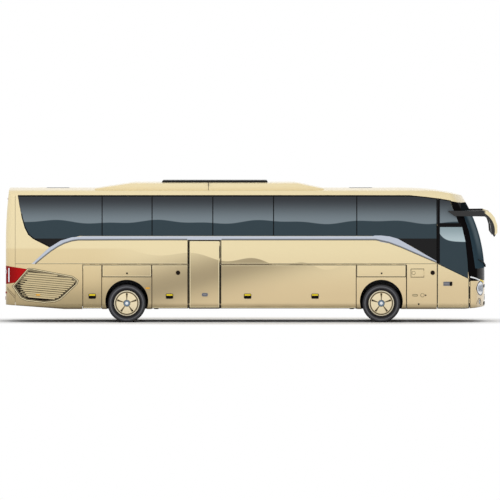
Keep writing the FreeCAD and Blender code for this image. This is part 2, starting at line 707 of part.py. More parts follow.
left_wall = cut("left_wall", common("left_shell", wall_shell, left_region),
                [flap_zone, band_bed, *window_holes, grille_hole, tail_lamp_left,
                 door_glass_bed, door_glass_hole])
left_halves = []
for name, rear, front, low, count in FLAPS:
    if name == "rear_luggage_flap":
        front, count = "mid_door_x1", 3
    left_halves += [s.mirror(Vector(), Y) for s in flap_hinges(rear, front, count, False)]
keep(add("left_wall_hinged", left_wall, left_halves), "side_wall_left")

fuel_region = box("fuel_region", (FUEL[0], FUEL[1] + " - 10"), RIGHT, FUEL_Z)
fuel_plate = common("fuel_plate", leaf_shell, fuel_region)
keep(add("fuel_leaf", fuel_plate, door_hinges(fuel_hinge_x, fuel_hinge_z, True)), "fuel_flap")

arch_hole_rear = rod("arch_hole_rear", "arch_radius", "y",
                     ("rear_axle_x", "-2000", "arch_centre_z"), "4000")
arch_hole_front = rod("arch_hole_front", "arch_radius", "y",
                      ("front_axle_x", "-2000", "arch_centre_z"), "4000")
arch_panels = []
for end, hole in (("rear", arch_hole_rear), ("front", arch_hole_front)):
    region = box(end + "_arch_region",
                 (f"{end}_arch_x0 + seam / 2", f"{end}_arch_x1 - seam / 2"),
                 RIGHT, ("-100", "arch_flap_z - seam / 2"))
    panel = cut(end + "_arch_panel", common(end + "_arch_plate", leaf_shell, region), [hole])
    arch_panels += [panel, mirror(end + "_arch_panel_left", panel)]
keep(group("arch_panels", arch_panels), "wheel_arch_panels")

# ---------------------------------------------------------------- glass

pane_gaps = [box(f"pane_gap{k}", (x + " - 5", x + " + 5"), ("-2000", "2000"), ("0", "4000"))
             for k, x in enumerate(MULLIONS)]
corner_gap = box("pane_gap_corner", ("front_door_x0 - 8", "front_door_x0 + 8"),
                 ("-2000", "2000"), ("0", "4000"))
panes = cut("side_panes", common("side_pane_band", glass_layer, band), pane_gaps + [corner_gap])
driver_pane = common("driver_pane", glass_layer,
                     prism("driver_pane_region", DOOR_GLASS, LEFT))
rear_glass_region = box("rear_glass_region", ("tail_x - 100", "tail_x + 700"),
                        ("-1030", "1030"), ("waist_z + 60", "glass_top_z - 150"))
rear_glass_hole = box("rear_glass_hole", ("tail_x - 100", "tail_x + 700"),
                      ("-960", "960"), ("waist_z + 130", "glass_top_z - 220"))
rear_pane = common("rear_pane", glass_layer, rear_glass_region)
keep(group("saloon_panes", [panes, driver_pane, rear_pane]), "saloon_windows")

# ---------------------------------------------------------------- roof, nose and tail

roof_region = prism("roof_region", [
    ("tail_x - 200", "cantrail_z"), *CANTRAIL, ("nose_x + 200", "cantrail_z - 192"),
    ("nose_x + 200", "5000"), ("tail_x - 200", "5000")])
keep(common("roof", wall_shell, roof_region), "roof_panel")

screen_region = prism("screen_region", [*SCREEN, ("nose_x + 100", "screen_top_z"),
                                        ("nose_x + 100", "screen_low_z")])
screen_hole = prism("screen_hole", [
    ("nose_x - 225", "screen_low_z + 70"), ("nose_x - 243", "1689"), ("nose_x - 314", "2132"),
    ("nose_x - 383", "2483"), ("nose_x - 522", "2901"), ("nose_x - 607", "3096"),
    ("nose_x - 607", "screen_top_z - 67"), ("nose_x + 100", "screen_top_z - 67"),
    ("nose_x + 100", "screen_low_z + 70")])
keep(common("screen", glass_layer, screen_region), "windscreen")
surround_region = prism("surround_region", [
    ("front_door_x1 + door_gap / 2", "nose_mask_z + seam / 2"),
    *shift(DOOR_SEAM, "door_gap / 2"),
    ("front_door_x1 - 200 + door_gap / 2", "front_door_top_z + door_gap / 2"), *PILLAR,
    CANTRAIL[2], ("nose_x + 100", "cantrail_z - 192"),
    ("nose_x + 100", "nose_mask_z + seam / 2")])
screen_bed = common("screen_bed", bed_layer, screen_region)
keep(cut("surround", common("surround_shell", wall_shell, surround_region),
         [screen_bed, screen_hole]), "windscreen_surround")

nose_region = prism("nose_region", [
    ("front_door_x1 + door_gap / 2", "-100"), ("nose_x + 100", "-100"),
    ("nose_x + 100", "nose_mask_z - seam / 2"),
    ("front_door_x1 + door_gap / 2", "nose_mask_z - seam / 2")])
LAMP_Y, LAMP_Z, LAMP_HALF_WIDTH, LAMP_HALF_HEIGHT = 905, 925, 300, 186
headlamp_face = Part.Face(Part.Wire(Part.Ellipse(Vector(), LAMP_HALF_WIDTH,
                                                 LAMP_HALF_HEIGHT).toShape()))
headlamp_face.Placement = Placement(Vector(at("nose_x") - 420, -LAMP_Y, LAMP_Z),
                                    Rotation(Y, Z, X, "ZXY"))
headlamp_column = feature("headlamp_column", headlamp_face.extrude(X * 600))
fog_column = rod("fog_lamp_column", "52", "x", ("nose_x - 400", "-1000", "560"), "600")
lamp_columns = []
for column in (headlamp_column, fog_column):
    lamp_columns += [column, mirror(column.Name + "_left", column)]
socket_access = rod("socket_access", "tow_socket_radius + 24", "x",
                    ("nose_x - 200", "tow_socket_y", "tow_socket_z"), "400")
nose_panel = cut("nose_panel", common("nose_shell", wall_shell, nose_region),
                 lamp_columns + [socket_access])
keep(add("nose_hinged", nose_panel, door_hinges(at("front_door_x1"), FRONT_HINGES, False)),
     "front_panel")
keep(group("front_lamp_skins", [common(f"front_lamp{k}", wall_shell, column)
                                for k, column in enumerate(lamp_columns)]), "front_lamps")

keep(group("tail_lamp_skins", [common("tail_lamp_right", wall_shell, tail_lamp_right),
                               common("tail_lamp_left", wall_shell, tail_lamp_left)]),
     "tail_lamps")


def lid_hinges(moving):
    """Hinge halves along the top edge of the engine lid."""
    halves = []
    for part in (-0.6, 0, 0.6):
        centre = Vector(at("tail_x") - at("hinge_out"), part * at("lid_half"), at("lid_top_z"))
        halves.append(hinge(centre, Y, -X, -Z, moving))
    return halves


tail_region = box("tail_region", ("tail_x - 200", "rear_corner_x - seam / 2"),
                  ("-2000", "2000"), ("-100", "cantrail_z"))
lid_hole = box("lid_hole", ("tail_x - 200", "tail_x + 300"),
               ("-lid_half - seam / 2", "lid_half + seam / 2"),
               ("lid_low_z - seam / 2", "lid_top_z + seam / 2"))
lid_region = box("lid_region", ("tail_x - 200", "tail_x + 300"),
                 ("-lid_half + seam / 2", "lid_half - seam / 2"),
                 ("lid_low_z + seam / 2", "lid_top_z - seam / 2"))
tail_panel = cut("tail_panel", common("tail_shell", wall_shell, tail_region),
                 [common("rear_glass_bed", bed_layer, rear_glass_region), rear_glass_hole,
                  tail_lamp_right, tail_lamp_left, lid_hole, grille_hole_right,
                  grille_hole_left])
keep(add("tail_hinged", tail_panel, lid_hinges(False)), "rear_panel")
keep(add("lid_leaf", common("lid_plate", leaf_shell, lid_region), lid_hinges(True)),
     "engine_lid")

# ---------------------------------------------------------------- passenger doors

door_region = prism("front_door_region", [
    ("front_door_x0 + door_gap / 2", "sill_z + 8"), ("front_door_x1 - door_gap / 2", "sill_z + 8"),
    *shift(DOOR_SEAM[:-1], "-door_gap / 2"),
    ("front_door_x1 - 200 - door_gap / 2", "front_door_top_z - door_gap / 2"),
    ("front_door_x0 + door_gap / 2", "front_door_top_z - door_gap / 2")], RIGHT)
door_leaf = cut("front_door_leaf", common("front_door_shell", leaf_shell, door_region),
                [door_glass_bed, door_glass_hole])
keep(add("front_door_hinged", door_leaf, door_hinges(at("front_door_x1"), FRONT_HINGES, True)),
     "front_door")
keep(common("front_door_pane", common("door_pane_layer", glass_layer, door_glass_region),
            door_region), "front_door_glass")
mid_region = box("mid_door_region", ("mid_door_x0 + 10", "mid_door_x1 - 10"), RIGHT,
                 ("sill_z + 8", "mid_door_top_z - 10"))
keep(add("mid_door_leaf", common("mid_door_shell", leaf_shell, mid_region),
         door_hinges(mid_hinge_x, MID_HINGES, True)), "mid_door")

# ---------------------------------------------------------------- trim on the outside

STRIP = [  # anticlockwise from the foot of the rear diagonal, along the lower edge
    ("tail_x + 712", "strip_top_z - 755"), ("tail_x + 791", "strip_top_z - 755"),
    ("tail_x + 1298", "strip_top_z - 345"), ("tail_x + 1577", "strip_top_z - 180"),
    ("tail_x + 1837", "strip_top_z - 114"), ("tail_x + 2120", "strip_top_z - strip_height"),
    ("nose_x - 2992", "strip_top_z - strip_height"), ("nose_x - 2867", "strip_top_z - 156"),
    ("nose_x - 2711", "strip_top_z - 186"), ("nose_x - 2555", "strip_top_z - 194"),
    ("nose_x - 2177", "strip_top_z - 337"), ("nose_x - 1673", "strip_top_z - 556"),
    ("front_door_x0 - 19", "strip_top_z - 720"), ("front_door_x0 - 19", "strip_top_z - 673"),
    ("nose_x - 2013", "strip_top_z - 288"), ("nose_x - 2177", "strip_top_z - 194"),
    ("nose_x - 2396", "strip_top_z - 69"), ("nose_x - 2617", "strip_top_z - 6"),
    ("nose_x - 2853", "strip_top_z + 20"), ("nose_x - 3030", "strip_top_z + 20"),
    ("nose_x - 3088", "strip_top_z"), ("tail_x + 2120", "strip_top_z"),
    ("tail_x + 1804", "strip_top_z - 30"), ("tail_x + 1506", "strip_top_z - 118"),
    ("tail_x + 1183", "strip_top_z - 318")]
strip_layer = cut("strip_layer", strip_front, [strip_back])
strip_right = common("strip_right", strip_layer, prism("strip_region", STRIP, RIGHT))
keep(group("strips", [strip_right, mirror("strip_left", strip_right)]), "waist_trims")

GRILLE_OPENING = [("tail_x + 255", "990"), ("tail_x + 640", "1408"), ("tail_x + 1790", "1195"),
                  ("tail_x + 1915", "1110"), ("tail_x + 1890", "1040"),
                  ("tail_x + 1470", "665"), ("tail_x + 1330", "612"), ("tail_x + 1060", "590"),
                  ("tail_x + 600", "640"), ("tail_x + 455", "705")]
GRILLE_DEPTH = ("-side_y", "-side_y + 40")
SLATS = 11
frame_ring = cut("grille_ring", prism("grille_plate", GRILLE, GRILLE_DEPTH),
                 [prism("grille_opening", GRILLE_OPENING)])
slats = []
for k in range(SLATS):
    rear_z, front_z = 1410 - 66 * k, 1250 - 66 * k
    slats.append(prism(f"grille_slat{k}", [
        ("tail_x + 300", f"{rear_z}"), ("tail_x + 2000", f"{front_z}"),
        ("tail_x + 2000", f"{front_z + 34}"), ("tail_x + 300", f"{rear_z + 34}")],
        ("-side_y + 6", "-side_y + 40")))
slat_region = prism("grille_slat_region", GRILLE, GRILLE_DEPTH)
slat_parts = [common(f"grille_slat{k}_trimmed", slat, slat_region)
              for k, slat in enumerate(slats)]
grille_right = common("grille_right", outer, fuse("grille_bars", [frame_ring, *slat_parts]))
keep(group("grilles", [grille_right, mirror("grille_left", grille_right)]), "radiator_grilles")

# ---------------------------------------------------------------- mirrors and roof unit

mirror_arm = prism("mirror_arm_right", [
    ("front_door_x0 + 285", "3045"), ("front_door_x0 + 480", "2905"), ("nose_x - 28", "2893"),
    ("nose_x - 28", "3057")], ("-mirror_out + 5", "-mirror_out + 5 + mirror_arm + 24"))
mirror_head = prism("mirror_head_right", [
    ("nose_x - 28", "3057"), ("nose_x - 28", "2893"), ("nose_x + 80", "2811"),
    ("nose_x + 135", "2647"), ("nose_x + 150", "2455"), ("nose_x + 232", "2335"),
    ("nose_x + mirror_reach", "2455"), ("nose_x + mirror_reach", "2647"),
    ("nose_x + 245", "2865"), ("nose_x + 135", "3002")],
    ("-mirror_out", "-mirror_out + mirror_head"))
mirror_right = cut("mirror_right", fuse("mirror_blank", [mirror_arm, mirror_head]), [strip_back])
keep(group("mirror_pair", [mirror_right, mirror("mirror_left", mirror_right)]), "mirrors")


def outline_x(name, points, x):
    """A YZ outline extruded along X between two formulas."""
    sketch = doc.addObject("Sketcher::SketchObject", name + "_outline")
    sketch.Placement = Placement(Vector(), Rotation(Y, Z, X, "ZXY"))
    sketch.setExpression("Placement.Base.x", bound(x[0]))
    bind_polygon(sketch, points)
    node = doc.addObject("Part::Extrusion", name)
    node.Base = sketch
    node.DirMode = "Custom"
    node.Dir = Vector(1, 0, 0)
    node.Solid = True
    node.setExpression("LengthFwd", bound(f"({x[1]}) - ({x[0]})"))
    return node


pod_side = prism("pod_side", [
    ("pod_rear_x", "roof_z - 60"), ("pod_front_x", "roof_z - 60"), ("pod_front_x", "roof_z - 10"),
    ("pod_front_x - 777", "pod_top_z"), ("pod_rear_x + 1098", "pod_top_z"),
    ("pod_rear_x", "roof_z - 10")])
pod_section = outline_x("pod_section", [
    ("-pod_half", "roof_z - 60"), ("pod_half", "roof_z - 60"), ("pod_half", "pod_top_z - 110"),
    ("pod_half - 80", "pod_top_z - 20"), ("pod_half - 260", "pod_top_z"),
    ("-pod_half + 260", "pod_top_z"), ("-pod_half + 80", "pod_top_z - 20"),
    ("-pod_half", "pod_top_z - 110")], ("pod_rear_x - 10", "pod_front_x + 10"))
keep(cut("pod", common("pod_blank", pod_side, pod_section), [outer]), "roof_pod")
COVER_X = ("pod_rear_x + fan_cover_offset", "pod_rear_x + fan_cover_offset + fan_cover_length")
keep(prism("fan_cover", [
    (COVER_X[0], "pod_top_z"), (COVER_X[1], "pod_top_z"), (COVER_X[1], "pod_top_z + 18"),
    (COVER_X[1] + " - 30", "pod_top_z + fan_cover_height"),
    (COVER_X[0] + " + 30", "pod_top_z + fan_cover_height"), (COVER_X[0], "pod_top_z + 18")],
    ("-fan_cover_half", "fan_cover_half")), "condenser_cover")

# ---------------------------------------------------------------- chassis


def pair(name, x, y, z):
    """A box on the right and its mirror image; y runs outwards from the centre line."""
    right = box(name, x, (f"-({y[1]})", f"-({y[0]})"), z)
    return [right, mirror(name + "_left", right)]


RAIL_Y = ("rail_y", "rail_y + rail_width")
BAY_X = ("rear_axle_x + 638", "front_axle_x - 638")
frame_bars = []
for name, x, y, z in (
        ("bay_rail", BAY_X, RAIL_Y, ("bay_rail_z", "bay_rail_z + rail_height")),
        ("front_rail", (BAY_X[1] + " - 40", "nose_x - 150"), RAIL_Y,
         ("front_rail_z", "front_rail_z + rail_height")),
        ("rear_rail", ("tail_x + 206", BAY_X[0] + " + 40"), RAIL_Y,
         ("rear_rail_z", "rear_rail_z + rail_height")),
        ("front_post", (BAY_X[1] + " - 40", BAY_X[1]), RAIL_Y,
         ("bay_rail_z", "front_rail_z + rail_height")),
        ("rear_post", (BAY_X[0], BAY_X[0] + " + 40"), RAIL_Y,
         ("bay_rail_z", "rear_rail_z + rail_height")),
        ("deck_post", ("rear_axle_x - 1203", "rear_axle_x - 1163"), RAIL_Y,
         ("rear_rail_z + rail_height", "deck_z - deck_thickness")),
        ("tail_post", ("tail_x + 236", "tail_x + 276"), RAIL_Y,
         ("rear_rail_z + rail_height", "deck_z - deck_thickness"))):
    frame_bars += pair(name, x, y, z)
for name, x, z in (
        ("bay_cross_rear", BAY_X[0], ("bay_rail_z", "bay_rail_z + rail_height")),
        ("bay_cross_front", BAY_X[1] + " - 80", ("bay_rail_z", "bay_rail_z + rail_height")),
        ("bay_cross_middle", "0", ("bay_rail_z", "bay_rail_z + rail_height")),
        ("front_cross_rear", BAY_X[1] + " - 40", ("front_rail_z", "front_rail_z + rail_height")),
        ("front_cross_middle", "front_axle_x + 900",
         ("front_rail_z", "front_rail_z + rail_height")),
        ("rear_cross_front", BAY_X[0] + " - 40", ("rear_rail_z", "rear_rail_z + rail_height")),
        ("rear_cross_tail", "tail_x + 206 - 0", ("rear_rail_z", "rear_rail_z + rail_height"))):
    frame_bars.append(box(name, (x, f"({x}) + 40"), ("-rail_y", "rail_y"), z))
frame_bars.append(box("nose_cross", ("nose_x - 290", "nose_x - 210"), ("-700", "700"),
                      ("500", "front_rail_z + rail_height")))
socket = rod("tow_socket", "tow_socket_radius", "x",
             ("nose_x - 75 - tow_socket_depth", "tow_socket_y", "tow_socket_z"),
             "tow_socket_depth + 10")
socket_boss = rod("socket_boss", "tow_socket_radius + 20", "x",
                  ("nose_x - 210", "tow_socket_y", "tow_socket_z"), "135")
frame_bars.append(cut("socket_boss_bored", socket_boss, [socket]))
for name, x in (("rear_pad", BAY_X[0] + " + 160"), ("front_pad", BAY_X[1] + " - 160")):
    pad = rod(name, "jack_pad_radius", "z", (x, "-rail_y - rail_width / 2", "jack_pad_z"),
              "bay_rail_z - jack_pad_z")
    frame_bars += [pad, mirror(name + "_left", pad)]
keep(butted("frame", frame_bars), "chassis_frame")

BAY_Y = "lining_y - 30"
WELL_Y = ("330", BAY_Y)
WELL_X = ("mid_door_x0", "mid_door_x1")
bay_parts = [cut("bay_floor", box("bay_floor_blank", (BAY_X[0] + " + 40", BAY_X[1] + " - 40"),
                                  (f"-({BAY_Y})", BAY_Y),
                                  ("bay_rail_z + rail_height",
                                   "bay_rail_z + rail_height + sheet")),
                 [box("bay_floor_notch", WELL_X, ("-2000", "-544"), ("0", "3000"))])]
for name, x in (("bay_rear_wall", BAY_X[0] + " + 40"),
                ("bay_front_wall", BAY_X[1] + " - 40 - 2 * sheet")):
    bay_parts.append(box(name, (x, f"{x} + 2 * sheet"), (f"-({BAY_Y})", BAY_Y),
                         ("bay_rail_z + rail_height", "deck_z - deck_thickness")))
for name, x in (("well_rear_wall", WELL_X[0] + " - sheet"), ("well_front_wall", WELL_X[1])):
    bay_parts.append(box(name, (x, f"{x} + sheet"), (f"-({BAY_Y})", "-330"),
                         ("bay_rail_z + rail_height", "deck_z - deck_thickness")))
    bay_parts.append(box(name + "_foot", (x, f"{x} + sheet"), (f"-({BAY_Y})", "-544"),
                         ("390", "bay_rail_z + rail_height + sheet")))
keep(fuse("bay", bay_parts), "luggage_bay")

# ---------------------------------------------------------------- floors and steps

floor_parts = [box(name, x, (y, "side_y"), ("deck_z - deck_thickness", "deck_z")) for name, x, y in (
    ("deck_rear", ("tail_x", "mid_door_x0"), "-side_y"),
    ("deck_beside_well", WELL_X, "-334"),
    ("deck_front", ("mid_door_x1", "cab_step_x"), "-side_y"))]
mid_rise = "(deck_z - first_step_z) / 4"
for k in range(4):
    outer_y, inner_y = f"-1190 + {214 * k}", f"-976 + {214 * k}"
    top = f"first_step_z + {k} * {mid_rise}"
    floor_parts.append(box(f"mid_tread{k}", WELL_X, (outer_y, inner_y), (f"{top} - 24", top)))
    floor_parts.append(box(f"mid_riser{k}", WELL_X, (f"{inner_y} - 10", inner_y),
                           (f"{top} - 24", f"{top} + {mid_rise}")))
front_rise = "(cab_floor_z - 140 - first_step_z) / 2"
CAB_X = ("front_door_x0 + 26", "front_door_x1 - 26")
for k in range(3):
    outer_y, inner_y = f"-1190 + {k} * step_run", f"-1190 + {k + 1} * step_run"
    top = f"first_step_z + {k} * {front_rise}"
    last = f"{top} + 140" if k == 2 else f"{top} + {front_rise}"
    floor_parts.append(box(f"front_tread{k}", CAB_X, (outer_y, inner_y), (f"{top} - 20", top)))
    floor_parts.append(box(f"front_riser{k}", CAB_X, (f"{inner_y} - 10", f"{inner_y}"),
                           (f"{top} - 20", last)))
for name, x in (("entrance_rear_wall", "front_door_x0 + 6"),
                ("entrance_front_wall", "front_door_x1 - 26")):
    floor_parts.append(cut(name, box(name + "_blank", (x, f"{x} + sheet"), ("-1190", "-320"),
                                     ("first_step_z - 20", "cab_floor_z")), [
        box(name + "_notch", ("nose_x - 3000", "nose_x"), ("-rail_y - rail_width", "-rail_y"),
            ("front_rail_z", "front_rail_z + rail_height"))]))
floor_parts.append(box("cab_floor", ("cab_step_x", "nose_x"), ("-320", "side_y"),
                       ("front_rail_z + rail_height", "cab_floor_z")))
floor_parts.append(box("cab_floor_corner", ("front_door_x1 - 26", "nose_x"), ("-side_y", "-320"),
                       ("cab_floor_z - 40", "cab_floor_z")))
floor_parts.append(box("deck_riser", ("cab_step_x - 40", "cab_step_x"), ("-side_y", "side_y"),
                       ("cab_floor_z - 40", "deck_z")))
floor_parts.append(box("aisle_step", ("cab_step_x", "cab_step_x + 280"), ("-320", "350"),
                       ("cab_floor_z", "(cab_floor_z + deck_z) / 2")))
keep(common("floor", butted("floor_blank", floor_parts), wall_back), "saloon_floor")

# ---------------------------------------------------------------- wheelhouses and engine

HOUSE_Y = ("rail_y + rail_width", "leaf_y")
house_parts = []
for end, rail_z in (("rear_axle_x", "rear_rail_z"), ("front_axle_x", "front_rail_z")):
    house_parts.append(fuse(end + "_house", [
        box(end + "_house_top", (end + " - 670", end + " + 670"),
            ("rail_y + rail_width", "leaf_y"), ("house_top_z - sheet", "house_top_z")),
        box(end + "_house_rear", (end + " - 670", end + " - 670 + sheet"), HOUSE_Y,
            ("tuck_z + 2", "house_top_z")),
        box(end + "_house_front", (end + " + 670 - sheet", end + " + 670"), HOUSE_Y,
            ("tuck_z + 2", "house_top_z")),
        box(end + "_house_inner", (end + " - 670", end + " + 670"),
            ("rail_y + rail_width", "rail_y + rail_width + sheet"), (rail_z, "house_top_z"))]))
keep(group("houses", house_parts + [mirror(f"house_right{k}", h)
                                    for k, h in enumerate(house_parts)]), "wheelhouses")

engine_parts = [box("engine_core", ("tail_x + 256", "rear_axle_x - 1653"), ("-400", "400"),
                    ("560", "1350"))]
for name, x in (("engine_mount_rear", "tail_x + 500"), ("engine_mount_front", "rear_axle_x - 2000")):
    engine_parts.append(box(name, (x, f"{x} + 100"), ("-rail_y", "rail_y"),
                            ("rear_rail_z", "rear_rail_z + rail_height")))
keep(fuse("engine", engine_parts), "engine_block")

# ---------------------------------------------------------------- axles


def spring_pair(name, centre_x, low, high):
    """Air springs under both rails."""
    right = rod(name, "90", "z", (centre_x, "-rail_y - rail_width / 2", low),
                f"({high}) - ({low})")
    return [right, mirror(name + "_left", right)]


beam_parts = [box("front_beam", ("front_axle_x - 60", "front_axle_x + 60"),
                  ("-king_pin_y + 40", "king_pin_y - 40"), ("470", "576"))]
beam_parts += pair("front_arm", ("front_axle_x - 400", "front_axle_x + 400"), RAIL_Y,
                   ("470", "540"))
for name, x in (("front_spring_rear", "front_axle_x - 310"),
                ("front_spring_front", "front_axle_x + 310")):
    beam_parts += spring_pair(name, x, "540", "front_rail_z")
eye = rod("king_pin_eye", "60", "z", ("front_axle_x", "-king_pin_y", "463"), "120")
beam_parts += [eye, mirror("king_pin_eye_left", eye)]
pin_hole = rod("king_pin_hole", "king_pin_radius + play", "z",
               ("front_axle_x", "-king_pin_y", "400"), "300")
keep(cut("front_axle_bored", fuse("front_axle_blank", beam_parts),
         [pin_hole, mirror("king_pin_hole_left", pin_hole)]), "front_axle")

tube_parts = [rod("axle_tube", "95", "y", ("rear_axle_x", "-600", "axle_z"), "1200"),
              rod("differential", "200", "y", ("rear_axle_x", "-150", "axle_z"), "300"),
              rod("rear_spindle", "spindle_radius", "y",
                  ("rear_axle_x", "-wheel_y - 72", "axle_z"), "2 * wheel_y + 144")]
tube_parts += pair("rear_arm", ("rear_axle_x - 400", "rear_axle_x + 400"), RAIL_Y,
                   ("axle_z + 37", "axle_z + 117"))
for name, x in (("rear_spring_rear", "rear_axle_x - 310"),
                ("rear_spring_front", "rear_axle_x + 310")):
    tube_parts += spring_pair(name, x, "axle_z + 117", "rear_rail_z")
keep(fuse("rear_axle_blank", tube_parts), "rear_axle")

pin_end = ("front_axle_x", "-king_pin_y")
plate_y = ("-king_pin_y - 98", "-king_pin_y - 70")
knuckle_parts = [rod("king_pin", "king_pin_radius", "z", (*pin_end, "400"), "246"),
                 box("knuckle_plate", ("front_axle_x - 75", "front_axle_x + 75"), plate_y,
                     ("405", "641")),
                 rod("front_spindle", "spindle_radius", "y",
                     ("front_axle_x", "-wheel_y - 72", "axle_z"),
                     "wheel_y + 72 - king_pin_y - 70")]
for name, z in (("low_lug", "405"), ("high_lug", "591")):
    knuckle_parts.append(rod(name, "50", "z", (*pin_end, z), "50"))
    knuckle_parts.append(box(name + "_web", ("front_axle_x - 50", "front_axle_x + 50"),
                             ("-king_pin_y - 75", "-king_pin_y"), (z, f"{z} + 50")))
knuckle_right = keep(fuse("knuckle_blank", knuckle_parts), "knuckle_right")
keep(mirror("knuckle_left_copy", knuckle_right), "knuckle_left")

# ---------------------------------------------------------------- wheels


def turned(name, points, place, outwards):
    """A body turned about its own Y axis; +Y of the profile ends up pointing outwards."""
    body = doc.addObject("PartDesign::Body", name)
    sketch = body.newObject("Sketcher::SketchObject", name + "_profile")
    for plane in body.Origin.OriginFeatures:
        if plane.Role == "XY_Plane":
            sketch.AttachmentSupport = [(plane, "")]
    sketch.MapMode = "FlatFace"
    bind_polygon(sketch, points)
    spin = body.newObject("PartDesign::Revolution", name + "_turn")
    spin.Profile = sketch
    spin.ReferenceAxis = (sketch, ["V_Axis"])
    spin.Angle = 360
    turn = 180 if outwards < 0 else 0
    body.Placement = Placement(Vector(), Rotation(Z, turn))
    for letter, text in zip("xyz", place):
        body.setExpression("Placement.Base." + letter, bound(text))
    return body


def barrel(middle):
    """Rim contour round one tyre, from its inner flange to its outer one."""
    return [("rim_radius - 73", f"{middle} - 144"), ("rim_radius", f"{middle} - 144"),
            ("rim_radius", f"{middle} - 130"), ("rim_radius - 55", f"{middle} - 130"),
            ("rim_radius - 55", f"{middle} + 130"), ("rim_radius", f"{middle} + 130"),
            ("rim_radius", f"{middle} + 144"), ("rim_radius - 73", f"{middle} + 144")]


def tyre_profile(middle):
    return [("rim_radius - 54.7", f"{middle} - 128"), ("rim_radius + 2", f"{middle} - 128"),
            ("rim_radius + 20", f"{middle} - tyre_width / 2 + 4"),
            ("tyre_radius - 103", f"{middle} - tyre_width / 2"),
            ("tyre_radius - 33", f"{middle} - tyre_width / 2 + 7"),
            ("tyre_radius", f"{middle} - tyre_width / 2 + 29"),
            ("tyre_radius", f"{middle} + tyre_width / 2 - 29"),
            ("tyre_radius - 33", f"{middle} + tyre_width / 2 - 7"),
            ("tyre_radius - 103", f"{middle} + tyre_width / 2"),
            ("rim_radius + 20", f"{middle} + tyre_width / 2 - 4"),
            ("rim_radius + 2", f"{middle} + 128"), ("rim_radius - 54.7", f"{middle} + 128")]


HUB_END = [("0", "110"), ("0", "78"), ("spindle_radius + play", "78")]
SINGLE_RIM = [*HUB_END, ("spindle_radius + play", "-100"), ("hub_radius", "-100"),
              ("hub_radius", "84"), ("rim_radius - 73", "84"), *barrel("0"),
              ("rim_radius - 73", "108"), ("hub_radius", "108"), ("hub_radius", "110")]
TWIN_RIM = [*HUB_END, ("spindle_radius + play", "-twin_pitch - 100"),
            ("hub_radius", "-twin_pitch - 100"), ("hub_radius", "-twin_pitch + 84"),
            ("rim_radius - 73", "-twin_pitch + 84"), *barrel("-twin_pitch"),
            ("rim_radius - 73", "-twin_pitch + 108"), ("hub_radius", "-twin_pitch + 108"),
            ("hub_radius", "84"), ("rim_radius - 73", "84"), *barrel("0"),
            ("rim_radius - 73", "108"), ("hub_radius", "108"), ("hub_radius", "110")]
WHEELS = [  # name, axle, side, twin
    ("front_right", "front_axle_x", -1, False), ("front_left", "front_axle_x", 1, False),
    ("rear_right", "rear_axle_x", -1, True), ("rear_left", "rear_axle_x", 1, True),
]
for name, axle, side, twin in WHEELS:
    middle = (axle, f"{side} * wheel_y", "axle_z")
    rim = turned("rim_body_" + name, TWIN_RIM if twin else SINGLE_RIM, middle, side)
    keep(rim, "rim_" + name)
    tyre = turned("tyre_body_" + name, tyre_profile("0"), middle, side)
    if twin:
        inner = turned("tyre_body_inner_" + name, tyre_profile("-twin_pitch"), middle, side)
        tyre = group("tyre_pair_" + name, [tyre, inner])
    keep(tyre, "tyre_" + name)

# ---------------------------------------------------------------- seats and driver's place


def seat(name, x, y0, width, floor):
    """A seat seen from the side, facing +X, at a formula X with its right edge at y0."""
    shape = prism(name + "_cushion", [
        (f"{x} + 220", f"{floor} + seat_height - 120"), (f"{x} + 220", f"{floor} + seat_height"),
        (f"{x} - 190", f"{floor} + seat_height"),
        (f"{x} - 320", f"{floor} + seat_height + seat_back"),
        (f"{x} - 420", f"{floor} + seat_height + seat_back"),
        (f"{x} - 310", f"{floor} + seat_height - 120")], (y0, f"{y0} + {width}"))
    foot = box(name + "_foot", (f"{x} - 200", f"{x} + 120"),
               (f"{y0} + {width} * 0.3", f"{y0} + {width} * 0.7"),
               (floor, f"{floor} + seat_height - 110"))
    return fuse(name, [shape, foot])


FIRST_ROW_X, ROWS = -5850, 13
right_seat = seat("right_seat", str(FIRST_ROW_X), "-lining_y + seat_inset", "seat_width", "deck_z")
left_seat = seat("left_seat", str(FIRST_ROW_X), "lining_y - seat_inset - seat_width",
                 "seat_width", "deck_z")
doc.recompute()
seats = []
for row in range(ROWS):
    x = FIRST_ROW_X + row * at("seat_pitch")
    if x + 220 > at("cab_step_x") - 100:
        continue
    over_well = x - 420 < at("mid_door_x1") + 60 and x + 220 > at("mid_door_x0") - 60
    for side, source in (("right", right_seat), ("left", left_seat)):
        if side == "right" and over_well:
            continue
        copy = source.Shape.copy()
        copy.translate(Vector(x - FIRST_ROW_X, 0, 0))
        seats.append(feature(f"seat_{side}_{row}", copy))
keep(group("seats", seats), "passenger_seats")
keep(seat("driver", "cab_step_x + 450", "370", "480", "cab_floor_z"), "driver_seat")

WHEEL_CENTRE = Vector(at("nose_x") - 840, 610, at("cab_floor_z") + 760)
column_axis = Rotation(Y, -25).multVec(Z)
dash_body = common("dash_body", wall_back, prism("dash_side", [
    ("nose_x - 540", "cab_floor_z"), ("nose_x", "cab_floor_z"), ("nose_x", "cab_floor_z + 540"),
    ("nose_x - 300", "cab_floor_z + 660"), ("nose_x - 640", "cab_floor_z + 700"),
    ("nose_x - 710", "cab_floor_z + 560"), ("nose_x - 710", "cab_floor_z + 330"),
    ("nose_x - 540", "cab_floor_z + 250")], ("-250", "1150")))
column_top = WHEEL_CENTRE - column_axis * 40
column = Part.makeCylinder(at("column_radius"), 390, column_top, column_axis * -1)
spigot = Part.makeCylinder(14, 60, column_top - column_axis * 5, column_axis)
keep(add("dash", dash_body, [column, spigot]), "dashboard")

